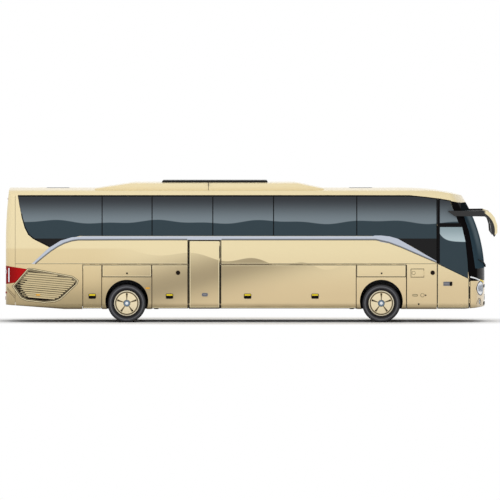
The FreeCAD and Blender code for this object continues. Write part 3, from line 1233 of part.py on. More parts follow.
steering_parts = [Part.makeTorus(at("steering_wheel_radius"), 17, WHEEL_CENTRE, column_axis),
                  Part.makeCylinder(46, 50, WHEEL_CENTRE - column_axis * 30, column_axis)]
for turn in (90, 210, 330):
    arm_direction = Rotation(column_axis, turn).multVec(column_axis.cross(Y))
    steering_parts.append(Part.makeCylinder(13, at("steering_wheel_radius"), WHEEL_CENTRE,
                                            arm_direction))
steering = steering_parts[0].fuse(steering_parts[1:])
spigot_bore = Part.makeCylinder(14 + at("play"), 50, WHEEL_CENTRE - column_axis * 32, column_axis)
keep(feature("steering_wheel_shape", steering.cut(spigot_bore)), "steering_wheel")

# ---------------------------------------------------------------- export

doc.recompute()
for node in doc.Objects:
    if "Invalid" in node.State or "Error" in node.State:
        raise RuntimeError("did not build: " + node.Name)
os.makedirs("parts", exist_ok=True)
for node in SUB_PARTS:
    if node.Shape.isNull() or not node.Shape.isValid() or not node.Shape.Solids:
        raise RuntimeError("bad shape: " + node.Label)
    node.Shape.exportStep(f"parts/{node.Label}.step")
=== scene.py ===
# %% [markdown]
# # A touring coach
# The coach's frame, its panels, glass, doors and wheels come ready made from the CAD model, each part on
# the body that it moves with. This file adds what the eye looks for: paint, tinted glass, tyres with
# tread, wheel trims, handles, seals, lamps, mirrors, wipers and padded seats. We could remodel the whole
# coach here, but then the two models would drift apart, so every piece takes its place from the CAD boxes.

# %% Load the coach
import json
import math
import bpy
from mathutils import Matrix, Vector


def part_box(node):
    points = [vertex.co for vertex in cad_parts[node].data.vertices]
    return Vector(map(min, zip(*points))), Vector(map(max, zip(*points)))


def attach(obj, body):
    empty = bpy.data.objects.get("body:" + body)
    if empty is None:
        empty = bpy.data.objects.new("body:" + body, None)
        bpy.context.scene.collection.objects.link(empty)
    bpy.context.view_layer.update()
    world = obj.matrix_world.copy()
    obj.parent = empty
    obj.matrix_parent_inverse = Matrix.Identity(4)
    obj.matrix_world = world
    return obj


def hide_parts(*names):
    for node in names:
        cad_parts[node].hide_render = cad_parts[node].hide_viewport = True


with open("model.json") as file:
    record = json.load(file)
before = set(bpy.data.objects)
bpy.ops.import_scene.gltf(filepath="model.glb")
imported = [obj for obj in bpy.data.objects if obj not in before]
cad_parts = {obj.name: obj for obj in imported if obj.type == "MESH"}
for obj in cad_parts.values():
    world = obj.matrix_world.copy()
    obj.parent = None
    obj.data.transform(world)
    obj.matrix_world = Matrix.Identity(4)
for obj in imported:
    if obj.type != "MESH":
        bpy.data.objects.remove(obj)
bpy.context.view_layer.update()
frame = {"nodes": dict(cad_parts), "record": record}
nodes = frame["nodes"]
BODY = "coach_body"
HOLD = 1.34  # how far out a flat outline waits before it is laid on the side
SIDE = round(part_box("rear_panel")[1].y, 3)


def axle_of(rim):
    """Where a wheel turns, along and up, from the box of its rim."""
    low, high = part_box(rim)
    return round((low.x + high.x) / 2, 3), round((low.z + high.z) / 2, 3)


FRONT_AXLE, AXLE_Z = axle_of("rim_front_right")
REAR_AXLE = axle_of("rim_rear_right")[0]
print("side", SIDE, "axles", FRONT_AXLE, REAR_AXLE, "up", AXLE_Z)

# %% [markdown]
# ## Modelling helpers
# An operator works on whatever is selected, so each step starts by letting everything go. A primitive is
# placed, its faces are picked in code by where they are, and modifiers finish it. These short helpers keep
# those habits in one place.

# %% Selecting
def release():
    """Leaves edit mode and deselects everything."""
    if bpy.context.object and bpy.context.object.mode != "OBJECT":
        bpy.ops.object.mode_set(mode="OBJECT")
    bpy.ops.object.select_all(action="DESELECT")


def take(obj):
    """Makes one object the selected and active one."""
    release()
    obj.select_set(True)
    bpy.context.view_layer.objects.active = obj
    return obj


def land(name):
    """Names the new primitive and bakes its place into its mesh."""
    obj = bpy.context.object
    obj.name = obj.data.name = name
    bpy.ops.object.transform_apply(location=True, rotation=True, scale=True)
    return obj


def pick(obj, test):
    """Goes into edit mode with the faces that pass test(centre, normal) selected."""
    take(obj)
    bpy.ops.object.mode_set(mode="EDIT")
    bpy.ops.mesh.select_mode(type="FACE")
    bpy.ops.mesh.select_all(action="DESELECT")
    bpy.ops.object.mode_set(mode="OBJECT")
    for face in obj.data.polygons:
        face.select = test(face.center, face.normal)
    bpy.ops.object.mode_set(mode="EDIT")


def whole(obj):
    """Goes into edit mode with everything selected."""
    take(obj)
    bpy.ops.object.mode_set(mode="EDIT")
    bpy.ops.mesh.select_all(action="SELECT")


def done():
    """Leaves edit mode."""
    bpy.ops.object.mode_set(mode="OBJECT")


# %% Starting and shaping a piece
def block(name, place, size):
    """A box about a middle point, as a start."""
    release()
    bpy.ops.mesh.primitive_cube_add(size=1, location=place, scale=size)
    return land(name)


def modifier(obj, kind, **settings):
    """Adds one modifier and applies it at once."""
    take(obj)
    added = obj.modifiers.new(kind.lower(), kind)
    for key, value in settings.items():
        setattr(added, key, value)
    bpy.ops.object.modifier_apply(modifier=added.name)
    return obj


def thicken(obj, thickness):
    """Gives a sheet its wall, outwards."""
    return modifier(obj, "SOLIDIFY", thickness=thickness, offset=1.0)


def soften(obj, width, segments=2):
    """Bevels the sharp edges of a piece."""
    return modifier(obj, "BEVEL", width=width, segments=segments, limit_method="ANGLE")


def outwards(obj):
    """Merges doubles and turns every face outwards."""
    whole(obj)
    bpy.ops.mesh.remove_doubles(threshold=0.0002)
    bpy.ops.mesh.normals_make_consistent(inside=False)
    done()
    return obj


# %% Joining, copying and mirroring
def join(pieces, name):
    """Makes several pieces one, under a new name."""
    take(pieces[0])
    for piece in pieces[1:]:
        piece.select_set(True)
    if len(pieces) > 1:
        bpy.ops.object.join()
    pieces[0].name = pieces[0].data.name = name
    return pieces[0]


def twin(obj, name, move=(0, 0, 0)):
    """A copy with a mesh of its own, moved along."""
    take(obj)
    bpy.ops.object.duplicate()
    copy = bpy.context.object
    copy.location = move
    bpy.ops.object.transform_apply(location=True, rotation=False, scale=False)
    copy.name = copy.data.name = name
    return copy


def mirror(obj):
    """Puts a piece on the other side of the coach."""
    whole(obj)
    bpy.ops.transform.resize(value=(1, -1, 1), center_override=(0, 0, 0))
    bpy.ops.mesh.normals_make_consistent(inside=False)
    done()
    return obj


def discard(obj):
    """Removes a pattern piece once its copies are made."""
    release()
    bpy.data.objects.remove(obj)


def paint_faces(obj, index, test):
    """Gives the faces that pass test(centre, normal) one of the piece's materials."""
    for face in obj.data.polygons:
        if test(face.center, face.normal):
            face.material_index = index


def coat(obj, *materials):
    """Gives a piece its materials and keeps the marks on its faces."""
    marks = [face.material_index for face in obj.data.polygons]
    obj.data.materials.clear()
    for material in materials:
        obj.data.materials.append(material)
    for face, mark in zip(obj.data.polygons, marks):
        face.material_index = min(mark, len(materials) - 1)
    return obj


def finish(obj, body, slot, *materials, smooth=35, replaces=()):
    """Smooths and coats a piece, and hands it to the body that it moves with."""
    take(obj)
    bpy.ops.object.shade_smooth_by_angle(angle=math.radians(smooth))
    if materials:
        coat(obj, *materials)
    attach(obj, body)
    if replaces:
        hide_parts(*replaces)
    return obj


# %% [markdown]
# ## One skin to lay things on
# Seals, handles and lamps follow the coach's rounded sides. The outer panels are copied and joined into
# one skin, and flat outlines are wrapped on to it with Shrinkwrap. The skin is thrown away at the end.

# %% The skin
SKIN = ["side_wall_right", "side_wall_left", "front_panel", "windscreen_surround", "windscreen",
        "rear_panel", "engine_lid", "saloon_windows", "mid_door", "front_door", "front_door_glass",
        "wheel_arch_panels", "tail_lamps", "front_lamps", "fuel_flap", "roof_panel", "radiator_grilles"]
SKIN += [n for n in nodes if "_flap_" in n]
copies = []
for name in SKIN:
    take(nodes[name])
    bpy.ops.object.duplicate()
    copy = bpy.context.object
    copy.parent = None
    for key in list(copy.keys()):
        del copy[key]
    copies.append(copy)
skin = join(copies, "skin")
print("skin faces", len(skin.data.polygons))


# %% Flat outlines
HELD = {"Y": -HOLD, "X": 6.7, "-X": -6.8}
OUTSIDE = {"Y": (0, -1, 0), "X": (1, 0, 0), "-X": (-1, 0, 0)}


def seed(place):
    """Starts a mesh from one point and stays in edit mode, ready to extrude it."""
    release()
    bpy.ops.mesh.primitive_plane_add(size=0.01, location=place)
    bpy.ops.object.mode_set(mode="EDIT")
    bpy.ops.mesh.select_mode(type="VERT")
    bpy.ops.mesh.select_all(action="SELECT")
    bpy.ops.mesh.merge(type="CENTER")


def face_out(obj, out, face=0):
    """Turns an open sheet over if the given face looks the wrong way."""
    if obj.data.polygons[face].normal.dot(Vector(out)) < 0:
        whole(obj)
        bpy.ops.mesh.flip_normals()
        done()
    return obj


def sheet_of(name, points, across="Y"):
    """A flat face through (along, up) points, held just off the coach's right side, nose or tail."""
    def place(point):
        if across == "Y":
            return Vector((point[0], HELD[across], point[1]))
        return Vector((HELD[across], point[0], point[1]))

    seed(place(points[0]))
    for a, b in zip(points, points[1:]):
        bpy.ops.mesh.extrude_vertices_move(TRANSFORM_OT_translate={"value": place(b) - place(a)})
    bpy.ops.mesh.select_all(action="SELECT")
    bpy.ops.mesh.edge_face_add()
    done()
    return face_out(land(name), OUTSIDE[across])


# %% Cutting a sheet down and dividing it
def to_ring(obj, width):
    """Keeps only a border of the sheet, as wide as told."""
    pick(obj, lambda centre, normal: True)
    bpy.ops.mesh.inset(thickness=width, depth=0)
    bpy.ops.mesh.delete(type="FACE")
    done()
    return obj


def shrink(obj, distance):
    """Moves a sheet's outline in by a distance."""
    pick(obj, lambda centre, normal: True)
    bpy.ops.mesh.inset(thickness=distance, depth=0)
    bpy.ops.mesh.select_all(action="INVERT")
    bpy.ops.mesh.delete(type="FACE")
    done()
    return obj


def divide(obj, cuts):
    """Cuts a piece finer, so that it can follow a curve."""
    whole(obj)
    bpy.ops.mesh.subdivide(number_cuts=cuts)
    done()
    return obj


def outline(name, points, across="Y", inside=0.0, ring=None, cuts=0):
    """A flat sheet, with its outline moved in, cut down to a ring or divided where told."""
    piece = sheet_of(name, points, across)
    if inside:
        shrink(piece, inside)
    if ring:
        to_ring(piece, ring)
    if cuts:
        divide(piece, cuts)
    return piece


# %% Laying a piece on the skin
STRAY = 0.4  # further than this from the rest of its sheet, a vertex fell through a gap
HINGE_SLACK = 0.0004


def bring_back(obj, axis, level, test):
    """Moves the vertices that pass test(place) to one level along an axis."""
    pick(obj, lambda centre, normal: False)
    bpy.ops.object.mode_set(mode="OBJECT")
    for vertex in obj.data.vertices:
        vertex.select = test(vertex.co)
    bpy.ops.object.mode_set(mode="EDIT")
    bpy.ops.mesh.select_mode(type="VERT")
    bpy.ops.transform.resize(value=[0 if k == axis else 1 for k in range(3)],
                             center_override=[level if k == axis else 0 for k in range(3)])
    done()


def lay(obj, gap, across="Y"):
    """Lays a sheet on the coach's skin, straight in from where it is held."""
    modifier(obj, "SHRINKWRAP", target=skin, wrap_method="PROJECT", offset=gap,
             wrap_mode="ABOVE_SURFACE", use_positive_direction=True, use_negative_direction=True,
             **{"use_project_" + across[-1].lower(): True})
    axis = "XY".index(across[-1])
    middle = sorted(vertex.co[axis] for vertex in obj.data.vertices)[len(obj.data.vertices) // 2]
    bring_back(obj, axis, middle, lambda place: abs(place[axis] - middle) > STRAY)
    if across == "Y":  # what fell on a hinge goes back to the side
        bring_back(obj, axis, -SIDE - gap, lambda place: place.y < -SIDE - gap - HINGE_SLACK)
    return obj


def cling(obj, gap):
    """Lays a piece on the nearest point of the skin, for work that goes round a corner."""
    return modifier(obj, "SHRINKWRAP", target=skin, wrap_method="NEAREST_SURFACEPOINT",
                    offset=gap, wrap_mode="ABOVE_SURFACE")


# %% Ribbons and outline points
def ribbon(name, path, height):
    """A strip of one height that follows (x, y, z) points along its lower edge."""
    seed(path[0])
    bpy.ops.mesh.extrude_vertices_move(TRANSFORM_OT_translate={"value": (0, 0, height)})
    bpy.ops.mesh.select_all(action="SELECT")
    for a, b in zip(path, path[1:]):
        bpy.ops.mesh.extrude_edges_move(TRANSFORM_OT_translate={"value": Vector(b) - Vector(a)})
    done()
    obj = land(name)
    middle = len(obj.data.polygons) // 2
    forward = 0.3 if obj.data.polygons[middle].center.x > 0 else -0.3
    return face_out(obj, (forward, -1, 0), middle)


def rectangle(x0, x1, z0, z1):
    """Corner points between two places along and two heights."""
    return [(x0, z0), (x1, z0), (x1, z1), (x0, z1)]


def rounded(x, z, width, height, radius, steps=3):
    """Corner points of a rounded rectangle about a middle point."""
    points = []
    for k, (sx, sz) in enumerate(((1, 1), (-1, 1), (-1, -1), (1, -1))):
        for step in range(steps + 1):
            turn = math.radians(90 * k + 90 * step / steps)
            points.append((x + sx * (width / 2 - radius) + radius * math.cos(turn),
                           z + sz * (height / 2 - radius) + radius * math.sin(turn)))
    return points


def ring_points(x, z, half_x, half_z, count=24):
    """Points of a circle or an oval about a middle point."""
    turns = [2 * math.pi * k / count for k in range(count)]
    return [(x + half_x * math.cos(turn), z + half_z * math.sin(turn)) for turn in turns]


# %% [markdown]
# ## Paint, glass and other finishes
# A finish is a Principled BSDF fed by a few nodes that read Object coordinates, so it holds still on the
# coach in every view. Image textures could give the same looks, but they stretch and repeat. What several
# finishes share, fine grain and road grime with painted shade low down, is a node group built once.

# %% Node helpers
def link(tree, source, target):
    """Joins a node's output, or sets a plain value."""
    if isinstance(source, bpy.types.NodeSocket):
        tree.links.new(source, target)
    else:
        target.default_value = source


def calc(tree, operation, a, b=0.0, c=None, clamp=False):
    """One Math node."""
    node = tree.nodes.new("ShaderNodeMath")
    node.operation = operation
    node.use_clamp = clamp
    for socket, value in zip(node.inputs, (a, b, c)):
        if value is not None:
            link(tree, value, socket)
    return node.outputs[0]


def band(tree, value, low, high):
    """0 below low, 1 above high, smooth between."""
    node = tree.nodes.new("ShaderNodeMapRange")
    node.interpolation_type = "SMOOTHSTEP"
    link(tree, value, node.inputs["Value"])
    link(tree, low, node.inputs["From Min"])
    link(tree, high, node.inputs["From Max"])
    return node.outputs["Result"]


def split(tree, vector):
    """The X, Y and Z of a vector."""
    node = tree.nodes.new("ShaderNodeSeparateXYZ")
    link(tree, vector, node.inputs[0])
    return node.outputs["X"], node.outputs["Y"], node.outputs["Z"]


# %% Sums made of several nodes
def below(tree, value, low, high):
    """1 below low, 0 above high, smooth between."""
    return opposite(tree, band(tree, value, low, high))


def opposite(tree, value):
    """1 where the value is 0, and the other way round."""
    return calc(tree, "SUBTRACT", 1.0, value)


def times(tree, first, *others):
    """All the values multiplied together."""
    for value in others:
        first = calc(tree, "MULTIPLY", first, value)
    return first


def line(tree, value, slope, start):
    """start + slope * value"""
    return calc(tree, "MULTIPLY_ADD", value, slope, start)


def oval(tree, a, b, half_a, half_b):
    """Distance from the middle of an oval, 1 on its edge."""
    squares = [calc(tree, "POWER", calc(tree, "DIVIDE", value, half), 2.0)
               for value, half in ((a, half_a), (b, half_b))]
    return calc(tree, "SQRT", calc(tree, "ADD", *squares))


# %% Colours and node groups
def blend_colour(tree, factor, a, b):
    """Colour a where the factor is 0, b where it is 1."""
    node = tree.nodes.new("ShaderNodeMix")
    node.data_type = "RGBA"
    sockets = [s for s in node.inputs if s.type == "RGBA"]
    link(tree, factor, node.inputs["Factor"])
    link(tree, a, sockets[0])
    link(tree, b, sockets[1])
    return [s for s in node.outputs if s.type == "RGBA"][0]


def rgb(r, g, b):
    """A screen colour, 0 to 255, as the linear colour that nodes use."""
    return tuple((c / 255 / 12.92) if c < 11 else ((c / 255 + 0.055) / 1.055) ** 2.4
                 for c in (r, g, b)) + (1.0,)


def new_group(name, ins, outs):
    """A node group with named inputs and outputs, given as (label, kind)."""
    group = bpy.data.node_groups.new(name, "ShaderNodeTree")
    for label, kind in ins:
        group.interface.new_socket(label, in_out="INPUT", socket_type="NodeSocket" + kind)
    for label, kind in outs:
        group.interface.new_socket(label, in_out="OUTPUT", socket_type="NodeSocket" + kind)
    return group, group.nodes.new("NodeGroupInput"), group.nodes.new("NodeGroupOutput")


# %% Fine grain
grain, grain_in, grain_out = new_group(
    "fine_grain", [("Vector", "Vector"), ("Scale", "Float"), ("Depth", "Float")],
    [("Height", "Float"), ("Tone", "Float")])
noise = grain.nodes.new("ShaderNodeTexNoise")
noise.inputs["Detail"].default_value = 3.0
link(grain, grain_in.outputs["Vector"], noise.inputs["Vector"])
link(grain, grain_in.outputs["Scale"], noise.inputs["Scale"])
link(grain, times(grain, noise.outputs["Fac"], grain_in.outputs["Depth"]), grain_out.inputs["Height"])
link(grain, line(grain, noise.outputs["Fac"], 0.2, 0.9), grain_out.inputs["Tone"])

# %% Road grime and painted shade that gather low down
# Dust colour in patches below a given height; on the paint it partly stands in for painted shade where the
# skirt turns in.
DUST_AND_SHADE, SKIRT_FOOT = rgb(96, 84, 52), 0.33
film_and_shade, film_in, film_out = new_group(
    "road_film_and_shade", [("Colour", "Color"), ("Vector", "Vector"), ("Top", "Float"), ("Amount", "Float"),
                  ("Roughness", "Float")],
    [("Colour", "Color"), ("Roughness", "Float")])
film_noise = film_and_shade.nodes.new("ShaderNodeTexNoise")
film_noise.inputs["Scale"].default_value = 2.2
film_noise.inputs["Detail"].default_value = 5.0
link(film_and_shade, film_in.outputs["Vector"], film_noise.inputs["Vector"])
film_z = split(film_and_shade, film_in.outputs["Vector"])[2]
reach = below(film_and_shade, film_z, SKIRT_FOOT, film_in.outputs["Top"])
mask = calc(film_and_shade, "MULTIPLY", times(film_and_shade, reach, film_in.outputs["Amount"]),
            line(film_and_shade, film_noise.outputs["Fac"], 0.8, 0.6), clamp=True)
link(film_and_shade, blend_colour(film_and_shade, mask, film_in.outputs["Colour"], DUST_AND_SHADE), film_out.inputs["Colour"])
link(film_and_shade, line(film_and_shade, mask, 0.35, film_in.outputs["Roughness"]), film_out.inputs["Roughness"])


# %% [markdown]
# ### Starting a material
# Each finish starts from the same three things: its node tree, its Principled BSDF and its Object
# coordinates. Shared effects are then placed in the tree with values of their own.

# %% Starting a material
def new_material(name, **constants):
    """A material with its tree, its Principled BSDF and its Object coordinates."""
    material = bpy.data.materials.new(name)
    material.use_nodes = True
    tree = material.node_tree
    shader = tree.nodes["Principled BSDF"]
    for key, value in constants.items():
        shader.inputs[key.replace("_", " ")].default_value = value
    where = tree.nodes.new("ShaderNodeTexCoord").outputs["Object"]
    return material, tree, shader, where


def use(tree, group, **values):
    """Places a shared effect in a material."""
    node = tree.nodes.new("ShaderNodeGroup")
    node.node_tree = group
    for key, value in values.items():
        link(tree, value, node.inputs[key])
    return node.outputs


def bump(tree, shader, height, distance):
    """Turns a height into small dents in the surface."""
    node = tree.nodes.new("ShaderNodeBump")
    node.inputs["Distance"].default_value = distance
    node.inputs["Strength"].default_value = 0.5
    link(tree, height, node.inputs["Height"])
    link(tree, node.outputs["Normal"], shader.inputs["Normal"])


# %% [markdown]
# ### Champagne paint
# The real paint is a metallic champagne under clear lacquer. One plain colour would look like plastic, so a
# slow tone runs from cream on the upper panels to sand low down, and a very fine flake roughens the metal
# below the lacquer. On top of it a painted reflection of a dark skyline lies across the flaps as a soft
# darker band, a cosine that tightens towards the nose, with a browner band below it at the rear, and painted
# shade and road grime deepen the lowest part.

# %% Champagne paint
CREAM, SAND = rgb(234, 217, 172), rgb(220, 197, 152)
REFLECTED_WAVE_TONE, REFLECTED_REAR_TAN = rgb(160, 143, 108), rgb(216, 192, 142)
LOW_SHADE, SILL_SHADE = rgb(126, 111, 74), rgb(84, 70, 42)


def painted_reflection_mask(tree, x, z):
    """The painted reflection of a dark skyline: cut off at its crest, deepest at its heart and weaker
    towards the nose.
    """
    turns = line(tree, line(tree, x, 0.0433, 0.671), x, 1.462)
    swing = calc(tree, "COSINE", times(tree, turns, 2 * math.pi))
    crest = line(tree, swing, -0.075, line(tree, x, -0.085, 1.69))
    under = band(tree, calc(tree, "SUBTRACT", crest, z), -0.006, 0.012)
    heart = calc(tree, "MAXIMUM", line(tree, x, 0.27, 1.61), 0.45)
    off = calc(tree, "SUBTRACT", z, heart)
    off = calc(tree, "DIVIDE", off, line(tree, band(tree, off, -0.05, 0.05), 0.16, 0.54))
    depth = calc(tree, "EXPONENT", times(tree, off, off, -1.0))
    fade = opposite(tree, times(tree, band(tree, x, 1.0, 5.0), 0.5))
    return times(tree, under, fade, depth, 0.95)


def sill_shade_mask(tree, x, z):
    """Painted shade along the lowest edge of the sides, which turns in and rises a little behind."""
    rise = calc(tree, "MAXIMUM", line(tree, x, -0.052, -0.26), 0.0)
    return below(tree, calc(tree, "SUBTRACT", z, rise), 0.392, 0.418)


def champagne(name, painted_reflection=True, film_and_shade_amount=0.75):
    """The coach's paint, with or without its painted reflection and its road grime with painted shade low
    down.
    """
    material, tree, shader, where = new_material(
        name, Metallic=0.18, Coat_Weight=0.55, Coat_Roughness=0.06, Specular_IOR_Level=0.35)
    x, y, z = split(tree, where)
    colour = blend_colour(tree, band(tree, z, 0.7, 2.1), SAND, CREAM)
    if painted_reflection:
        # painted reflection of a dark skyline across the flaps, with a browner band below it at the rear
        colour = blend_colour(tree, painted_reflection_mask(tree, x, z), colour, REFLECTED_WAVE_TONE)
        reflected_tan = times(tree, below(tree, z, 1.98, 2.06), below(tree, x, -4.6, -2.6), 0.55)
        colour = blend_colour(tree, reflected_tan, colour, REFLECTED_REAR_TAN)
    flake = tree.nodes.new("ShaderNodeTexNoise")
    flake.inputs["Scale"].default_value = 900.0
    link(tree, where, flake.inputs["Vector"])
    out = use(tree, film_and_shade, Colour=colour, Vector=where, Top=0.56, Amount=film_and_shade_amount,
              Roughness=line(tree, flake.outputs["Fac"], 0.12, 0.30))
    # painted shade low on the rear part of the sides
    low = times(tree, below(tree, x, -4.4, -3.0), below(tree, z, 0.42, 1.25), film_and_shade_amount, 0.62)
    colour = blend_colour(tree, low, out["Colour"], LOW_SHADE)
    # painted shade along the foot of the sides, where they turn in
    foot = times(tree, sill_shade_mask(tree, x, z), film_and_shade_amount)
    link(tree, blend_colour(tree, foot, colour, SILL_SHADE), shader.inputs["Base Color"])
    link(tree, out["Roughness"], shader.inputs["Roughness"])
    return material


body_paint = champagne("champagne_paint")
plain_paint = champagne("champagne_paint_plain", painted_reflection=False, film_and_shade_amount=0.0)
print("paints", body_paint.name, plain_paint.name)

# %% [markdown]
# ### Tinted glass
# The side glass is so dark that it works as a mirror: a paler sky above a low, uneven skyline. Real
# see-through glass would show the seats instead, so the body of the glass is dark and opaque, and that sky
# and skyline are a painted reflection in its colour, changing with height; the gloss on top comes from the
# shader. Its edges carry a black frit.

# %% Side glass
DEEP_GLASS, FRIT = rgb(43, 59, 67), rgb(8, 7, 8)
REFLECTED_SKYLINE = 2.745


def side_panes():
    """A painted reflection: pale sky above a low skyline, dark below it, with a black edge."""
    material, tree, shader, where = new_material(
        "side_glass", Roughness=0.05, Specular_IOR_Level=0.16, Coat_Weight=0.08, Coat_Roughness=0.02)
    x, y, z = split(tree, where)
    reflected_hills = times(tree, calc(tree, "SINE", line(tree, x, 2.1, 0.6)), 0.04)
    reflected_hills = line(tree, calc(tree, "SINE", line(tree, x, 4.7, 1.1)), 0.02, reflected_hills)
    edge = calc(tree, "ADD", reflected_hills, REFLECTED_SKYLINE)
    sky = blend_colour(tree, band(tree, z, REFLECTED_SKYLINE - 0.05, 3.40), rgb(116, 128, 135), rgb(45, 49, 54))
    above = band(tree, calc(tree, "SUBTRACT", z, edge), -0.012, 0.012)
    colour = blend_colour(tree, above, DEEP_GLASS, sky)
    low_edge = times(tree, below(tree, z, 2.288, 2.296), band(tree, x, -6.45, -6.43))
    frit = calc(tree, "MAXIMUM", low_edge, band(tree, z, 3.425, 3.435))
    link(tree, blend_colour(tree, frit, colour, FRIT), shader.inputs["Base Color"])
    return material


side_glass = side_panes()

# %% Front door pane
PANE_REAR, PANE_TOP = 5.14, 2.60


def door_pane():
    """Like the side glass, but its pale painted reflection ends in a curve that falls forward."""
    material, tree, shader, where = new_material(
        "door_glass", Roughness=0.05, Specular_IOR_Level=0.16, Coat_Weight=0.08, Coat_Roughness=0.02)
    x, y, z = split(tree, where)
    top = band(tree, z, PANE_TOP, PANE_TOP + 0.01)
    fall = calc(tree, "EXPONENT", times(tree, calc(tree, "SUBTRACT", x, PANE_REAR), -7.0))
    edge = line(tree, fall, 0.24, 2.20)
    # the pale part is a painted reflection, above a curve that falls forward
    pale = times(tree, band(tree, calc(tree, "SUBTRACT", z, edge), -0.01, 0.01), opposite(tree, top))
    tone = blend_colour(tree, band(tree, z, 2.2, PANE_TOP), rgb(178, 195, 200), rgb(142, 160, 166))
    colour = blend_colour(tree, pale, DEEP_GLASS, tone)
    rim = calc(tree, "MAXIMUM", top, below(tree, x, PANE_REAR, PANE_REAR + 0.01))
    link(tree, blend_colour(tree, rim, colour, FRIT), shader.inputs["Base Color"])
    return material


door_glass = door_pane()

# %% Windscreen
BLIND_Z = 3.03


def windscreen_pane():
    """Dark, slightly clear, with a pale painted reflection down each side."""
    material, tree, shader, where = new_material("screen_glass", Roughness=0.3, Specular_IOR_Level=0.0)
    x, y, z = split(tree, where)
    out_y = calc(tree, "ABSOLUTE", y)
    reflection_streak = times(tree, band(tree, out_y, 0.35, 0.75), below(tree, out_y, 0.85, 1.12),
                   band(tree, z, 1.55, 2.4), 0.45)
    colour = blend_colour(tree, reflection_streak, rgb(50, 68, 78), rgb(128, 142, 148))
    blind = band(tree, z, BLIND_Z, BLIND_Z + 0.02)
    link(tree, blend_colour(tree, blind, colour, rgb(22, 28, 32)), shader.inputs["Base Color"])
    link(tree, line(tree, blind, 0.04, 0.94), shader.inputs["Alpha"])
    return material


screen_glass = windscreen_pane()
print("panes", side_glass.name, door_glass.name, screen_glass.name)

# %% [markdown]
# ### Blacks, metals, lenses and cloth
# Each of the other finishes is a colour that varies a little with fine grain, and a roughness that suits
# the stuff: soft for rubber, tight for polished metal. A flat colour would read as unfinished close up.

# %% Grained finishes
def grained(name, colour, roughness, scale, depth=0.0006, metallic=0.0, spec=0.3, coat=0.0,
            low_film_and_shade=0.0):
    """One colour and roughness with fine grain, and road grime with painted shade low down where told."""
    material, tree, shader, where = new_material(name, Metallic=metallic, Specular_IOR_Level=spec,
                                                 Coat_Weight=coat)
    out = use(tree, grain, Vector=where, Scale=scale, Depth=1.0)
    tone = blend_colour(tree, out["Tone"], rgb(0, 0, 0), colour)
    if low_film_and_shade:
        dirty = use(tree, film_and_shade, Colour=tone, Vector=where, Top=0.9, Amount=low_film_and_shade,
                    Roughness=roughness)
        link(tree, dirty["Colour"], shader.inputs["Base Color"])
        link(tree, dirty["Roughness"], shader.inputs["Roughness"])
    else:
        link(tree, tone, shader.inputs["Base Color"])
        link(tree, line(tree, out["Height"], 0.12, roughness - 0.06), shader.inputs["Roughness"])
    bump(tree, shader, out["Height"], depth)
    return material


# %% Rubbers, glossy blacks, painted seam and hollow shade, and the tyre's painted highlight
black_gloss = grained("black_gloss", rgb(14, 12, 13), 0.2, 300, depth=0.00005, spec=0.01)
unit_black = grained("unit_black", rgb(22, 20, 21), 0.5, 250, spec=0.2)
# painted shade for the floors of cups, slots and recesses, and for the sheet behind the grille
hollow_shade = grained("hollow_shade", rgb(30, 24, 20), 0.8, 200, spec=0.1)
seal_rubber = grained("seal_rubber", rgb(11, 9, 10), 0.6, 400, spec=0.08)
seam_shade = grained("seam_shade", rgb(76, 62, 44), 0.6, 200, spec=0.2)
strip_shade = grained("strip_shade", rgb(126, 132, 138), 0.4, 300, spec=0.2)
tyre_rubber = grained("tyre_rubber", rgb(26, 25, 27), 0.65, 160, depth=0.001, spec=0.2)
# painted highlight ring on the tyre wall, and a dimmer painted fringe either side of it
tyre_flank = grained("tyre_flank", rgb(58, 58, 61), 0.55, 120, depth=0.0008, spec=0.2)
tyre_wall = grained("tyre_wall", rgb(96, 96, 100), 0.5, 120, depth=0.0008, spec=0.25)

# %% Painted and bright fittings, with a painted highlight for lit edges and painted shade for wheel creases
# painted highlight beside seams, door edges, the belt, the rear glass and the grille
painted_highlight = grained("painted_highlight", rgb(240, 226, 184), 0.5, 200, spec=0.2)
grille_paint = grained("grille_paint", rgb(138, 126, 98), 0.45, 400, metallic=0.2, low_film_and_shade=0.5)
slat_paint = grained("slat_paint", rgb(206, 188, 146), 0.4, 400, metallic=0.1)
wheel_paint = grained("wheel_paint", rgb(240, 224, 186), 0.35, 500, depth=0.0001, metallic=0.15,
                      spec=0.4, coat=0.4)
# painted shade for the trim's crease ring and its shallow spokes
wheel_crease = grained("wheel_crease", rgb(104, 90, 62), 0.45, 300, metallic=0.1)
wheel_lip = grained("wheel_lip", rgb(226, 216, 190), 0.3, 300, metallic=0.35, spec=0.4)
bright_metal = grained("bright_metal", rgb(190, 197, 210), 0.35, 700, depth=0.00005, metallic=0.35,
                       spec=0.3)
steel_cap = grained("steel_cap", rgb(112, 132, 150), 0.3, 500, depth=0.00005, metallic=0.6, spec=0.5)
white_cap = grained("white_cap", rgb(240, 243, 246), 0.3, 500, depth=0.00005, coat=0.3)
handle_grey = grained("handle_grey", rgb(132, 130, 136), 0.35, 500, depth=0.00005, spec=0.3)
grip_yellow = grained("grip_yellow", rgb(240, 214, 40), 0.45, 300)
plate_white = grained("plate_white", rgb(236, 236, 232), 0.4, 300, coat=0.3)
amber_lens = grained("amber_lens", rgb(228, 164, 40), 0.2, 300, depth=0.0001, coat=0.5)
smoke_lamp = grained("smoke_lamp", rgb(96, 104, 114), 0.2, 300, depth=0.0001, coat=0.6)

